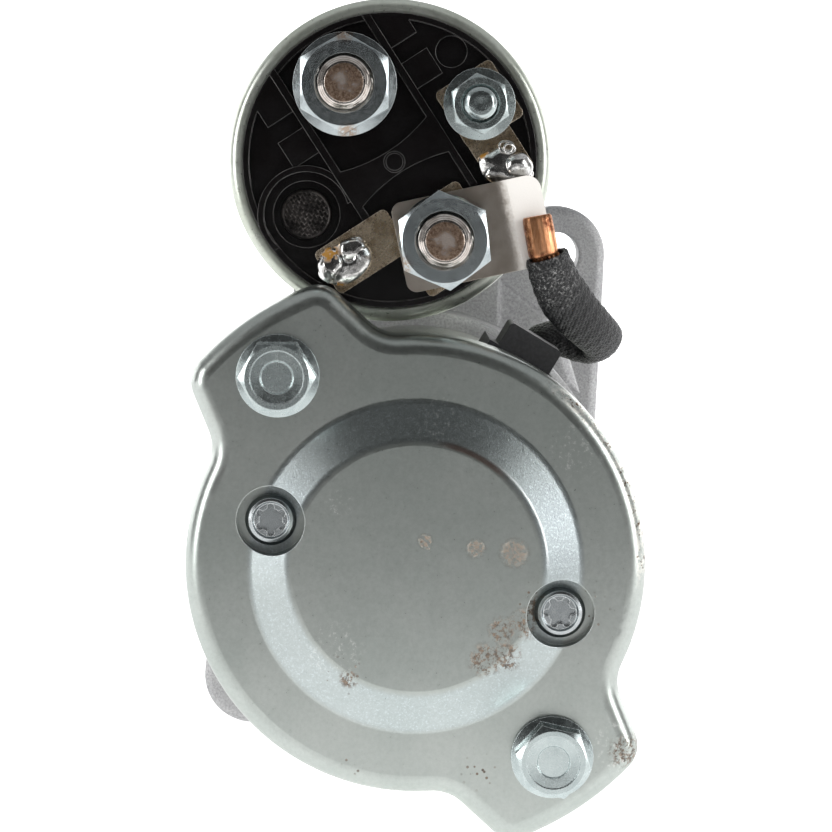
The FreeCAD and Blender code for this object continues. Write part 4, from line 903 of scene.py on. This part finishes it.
def blob(shape, centre, half_long, half_short, turn, height, seed, dip=0.0):
    """A puddle of solder on a plate that faces -Y."""
    around, rows = 72, 16
    sunk = 0.12
    c, s = circle(around)
    rings = []
    floor = [(0.02, sunk), (0.6, sunk), (1.0, sunk)]
    for share, depth in floor + [(math.cos(a), None) for a in np.linspace(0, 1.555, rows)]:
        ring = []
        for k in range(around):
            wobble = 1 + 0.22 * noise.noise(Vector((c[k] * 1.3, s[k] * 1.3, seed)))
            x = c[k] * half_long * share * wobble
            z = s[k] * half_short * share * wobble
            if depth is None:
                swell = (1 - share ** 2.6) ** 0.6
                bumps = 1 + 0.35 * noise.noise(Vector((x * 0.4, z * 0.4, seed + 3.7)))
                sink = dip * math.exp(-((x - 0.9) ** 2 + z ** 2) / 0.35)
                y = -height * swell * bumps + sink
            else:
                y = depth
            ring.append((centre[0] + x * math.cos(turn) - z * math.sin(turn), centre[1] + y,
                         centre[2] + x * math.sin(turn) + z * math.cos(turn)))
        rings.append(ring)
    shape.rings(rings)


def wire_loop(shape, centre, radius, thickness, lean):
    """A coil's wire end, bent into an uneven ring."""
    steps = np.linspace(0, 2 * math.pi, 40, endpoint=False)
    ripple = 1 + 0.06 * np.sin(3 * steps + lean)
    path = np.stack([centre[0] + radius * ripple * np.cos(steps),
                     centre[1] + 0.25 * np.sin(steps + lean),
                     centre[2] + radius * 0.8 * ripple * np.sin(steps)], axis=1)
    tube(shape, path, thickness, 8, loop=True)


def solder_pools():
    """Two heaps of three blobs each, with the ends of the coils' wires standing out of them."""
    shape = Shape()
    x, y, z = RIGHT_SOLDER
    blob(shape, (x - 0.2, y, z - 1.2), 4.2, 2.9, math.radians(-25), 1.2, 2.1)
    blob(shape, (x + 1.8, y - 0.1, z - 1.1), 2.7, 2.1, math.radians(-60), 1.45, 5.4)
    blob(shape, (x - 1.6, y - 0.1, z - 1.6), 2.3, 1.6, math.radians(40), 1.25, 7.9)
    wire_loop(shape, (x - 0.1, y - 0.9, z + 2.2), 1.05, 0.2, 0.4)
    wire_loop(shape, (x + 0.35, y - 1.15, z + 1.9), 0.85, 0.18, 2.1)
    x, y, z = LEFT_SOLDER
    blob(shape, (x, y, z), 4.4, 3.2, math.radians(48), 1.3, 11.3, 1.2)
    blob(shape, (x - 2.1, y - 0.1, z - 0.3), 2.6, 2.0, math.radians(80), 1.7, 14.2)
    blob(shape, (x + 1.0, y - 0.1, z + 2.0), 2.4, 1.8, math.radians(20), 1.4, 17.7)
    wire_loop(shape, (x + 2.6, y - 0.75, z + 1.0), 0.6, 0.2, 1.2)
    shape.piece("solder_pools", MADE["solder"], "solder_joints", sharp=70)


threaded_main_studs()
threaded_signal_stud()
DISTANCES, ROUTE = smooth_route(LEAD_ROUTE, 0.14)
IN_SLEEVE = (DISTANCES > SLEEVE_START) & (DISTANCES < SLEEVE_END)
woven_sleeve(DISTANCES[IN_SLEEVE], ROUTE[IN_SLEEVE])
copper_lead(DISTANCES, ROUTE)
vent_screen()
solder_pools()


# ---------------------------------------------------------------- stage, light and camera

# The stage's sizes and places are in metres
FLOOR_GAP = 0.0005
FLOOR_REACH = 2.6
TENT_TOP = 1.5

# Strengths of what glows
FLOOR_GLOW = 0.65
TENT_GLOW = 1.35
FRONT_GLOW = 0.03
LOW_GLOW = 0.30
NEAR_GLOW = 1.25
LEFT_GLOW = 0.10
RIGHT_GLOW = 0.22
SIDE_BOX_WATTS = 2.2
WORLD_STRENGTH = 0.45


def sheet(name, points, faces, material):
    """A flat or bent sheet of the stage."""
    mesh = bpy.data.meshes.new(name)
    mesh.from_pydata(points, [], faces)
    obj = bpy.data.objects.new(name, mesh)
    bpy.context.scene.collection.objects.link(obj)
    obj.data.materials.append(material)
    return obj


def area_light(name, place, target, size, power):
    light = bpy.data.lights.new(name, "AREA")
    light.shape = "RECTANGLE"
    light.size, light.size_y = size
    light.energy = power
    obj = bpy.data.objects.new(name, light)
    obj.location = place
    obj.rotation_euler = (Vector(target) - Vector(place)).to_track_quat("-Z", "Y").to_euler()
    bpy.context.scene.collection.objects.link(obj)


def glowing(name, tint, glow):
    """A dull surface that gives off an even white light."""
    finish = Finish(name, roughness=0.95)
    finish.set("Base Color", tint)
    finish.set("Specular IOR Level", 0.0)
    finish.feed(finish.shader.inputs["Emission Color"], (1, 1, 1, 1))
    finish.feed(finish.shader.inputs["Emission Strength"], glow)
    return finish.done()


def reflector(name, corners, glow):
    """A card that only shows in the metal: it neither lights nor shades the floor."""
    card = sheet(name, corners, [(0, 1, 2, 3)], glowing(name, (0.0, 0.0, 0.0), glow))
    card.visible_camera = False
    card.visible_diffuse = False
    card.visible_shadow = False


def make_stage():
    """A pale floor in a bright round tent, with cards in front, below and at both sides."""
    floor = CAD_BOX[0].z - FLOOR_GAP
    reach = FLOOR_REACH
    sheet("floor", [(-reach, -reach, floor), (reach, -reach, floor), (reach, reach, floor),
                    (-reach, reach, floor)], [(0, 1, 2, 3)],
          glowing("floor_white", (0.86, 0.86, 0.86), FLOOR_GLOW))
    count = 72
    angles = [2 * math.pi * k / count for k in range(count)]
    points = [(reach * 0.98 * math.cos(a), reach * 0.98 * math.sin(a), z)
              for z in (floor, TENT_TOP) for a in angles]
    faces = [(k, (k + 1) % count, count + (k + 1) % count, count + k) for k in range(count)]
    sheet("tent", points, faces, glowing("tent_white", (0.5, 0.5, 0.5), TENT_GLOW))
    standing = floor + 0.02
    lying = floor + 0.002
    reflector("front_card", [(-0.95, -0.95, standing), (0.95, -0.95, standing),
                             (1.10, -0.75, 1.05), (-1.10, -0.75, 1.05)], FRONT_GLOW)
    reflector("low_card", [(-0.70, -0.95, lying), (0.70, -0.95, lying),
                           (0.45, -0.30, lying), (-0.45, -0.30, lying)], LOW_GLOW)
    reflector("near_strip", [(-0.30, -0.30, lying), (0.30, -0.30, lying),
                             (0.30, -0.16, lying), (-0.30, -0.16, lying)], NEAR_GLOW)
    for side, glow in ((-1, LEFT_GLOW), (1, RIGHT_GLOW)):
        reflector("side_card", [(side * 0.90, -0.50, standing), (side * 0.85, 0.05, standing),
                                (side * 0.85, 0.05, 0.8), (side * 0.90, -0.50, 0.8)], glow)
        area_light("side_box", (side * 0.76, -0.60, 0.16), (0, -0.14, 0.03), (0.2, 0.6),
                   SIDE_BOX_WATTS)
    world = bpy.data.worlds.new("studio")
    world.use_nodes = True
    background = world.node_tree.nodes["Background"]
    background.inputs["Color"].default_value = (0.96, 0.98, 1.0, 1.0)
    background.inputs["Strength"].default_value = WORLD_STRENGTH
    bpy.context.scene.world = world


def make_camera():
    data = bpy.data.cameras.new("camera")
    data.lens = CAMERA_LENS
    data.sensor_width = 36.0
    data.clip_start = 0.01
    obj = bpy.data.objects.new("camera", data)
    obj.location = metres(CAMERA_PLACE)
    aim = metres(CAMERA_TARGET) - metres(CAMERA_PLACE)
    obj.rotation_euler = aim.to_track_quat("-Z", "Y").to_euler()
    bpy.context.scene.collection.objects.link(obj)
    bpy.context.scene.camera = obj


make_stage()
make_camera()
bpy.context.scene.view_settings.view_transform = "Standard"
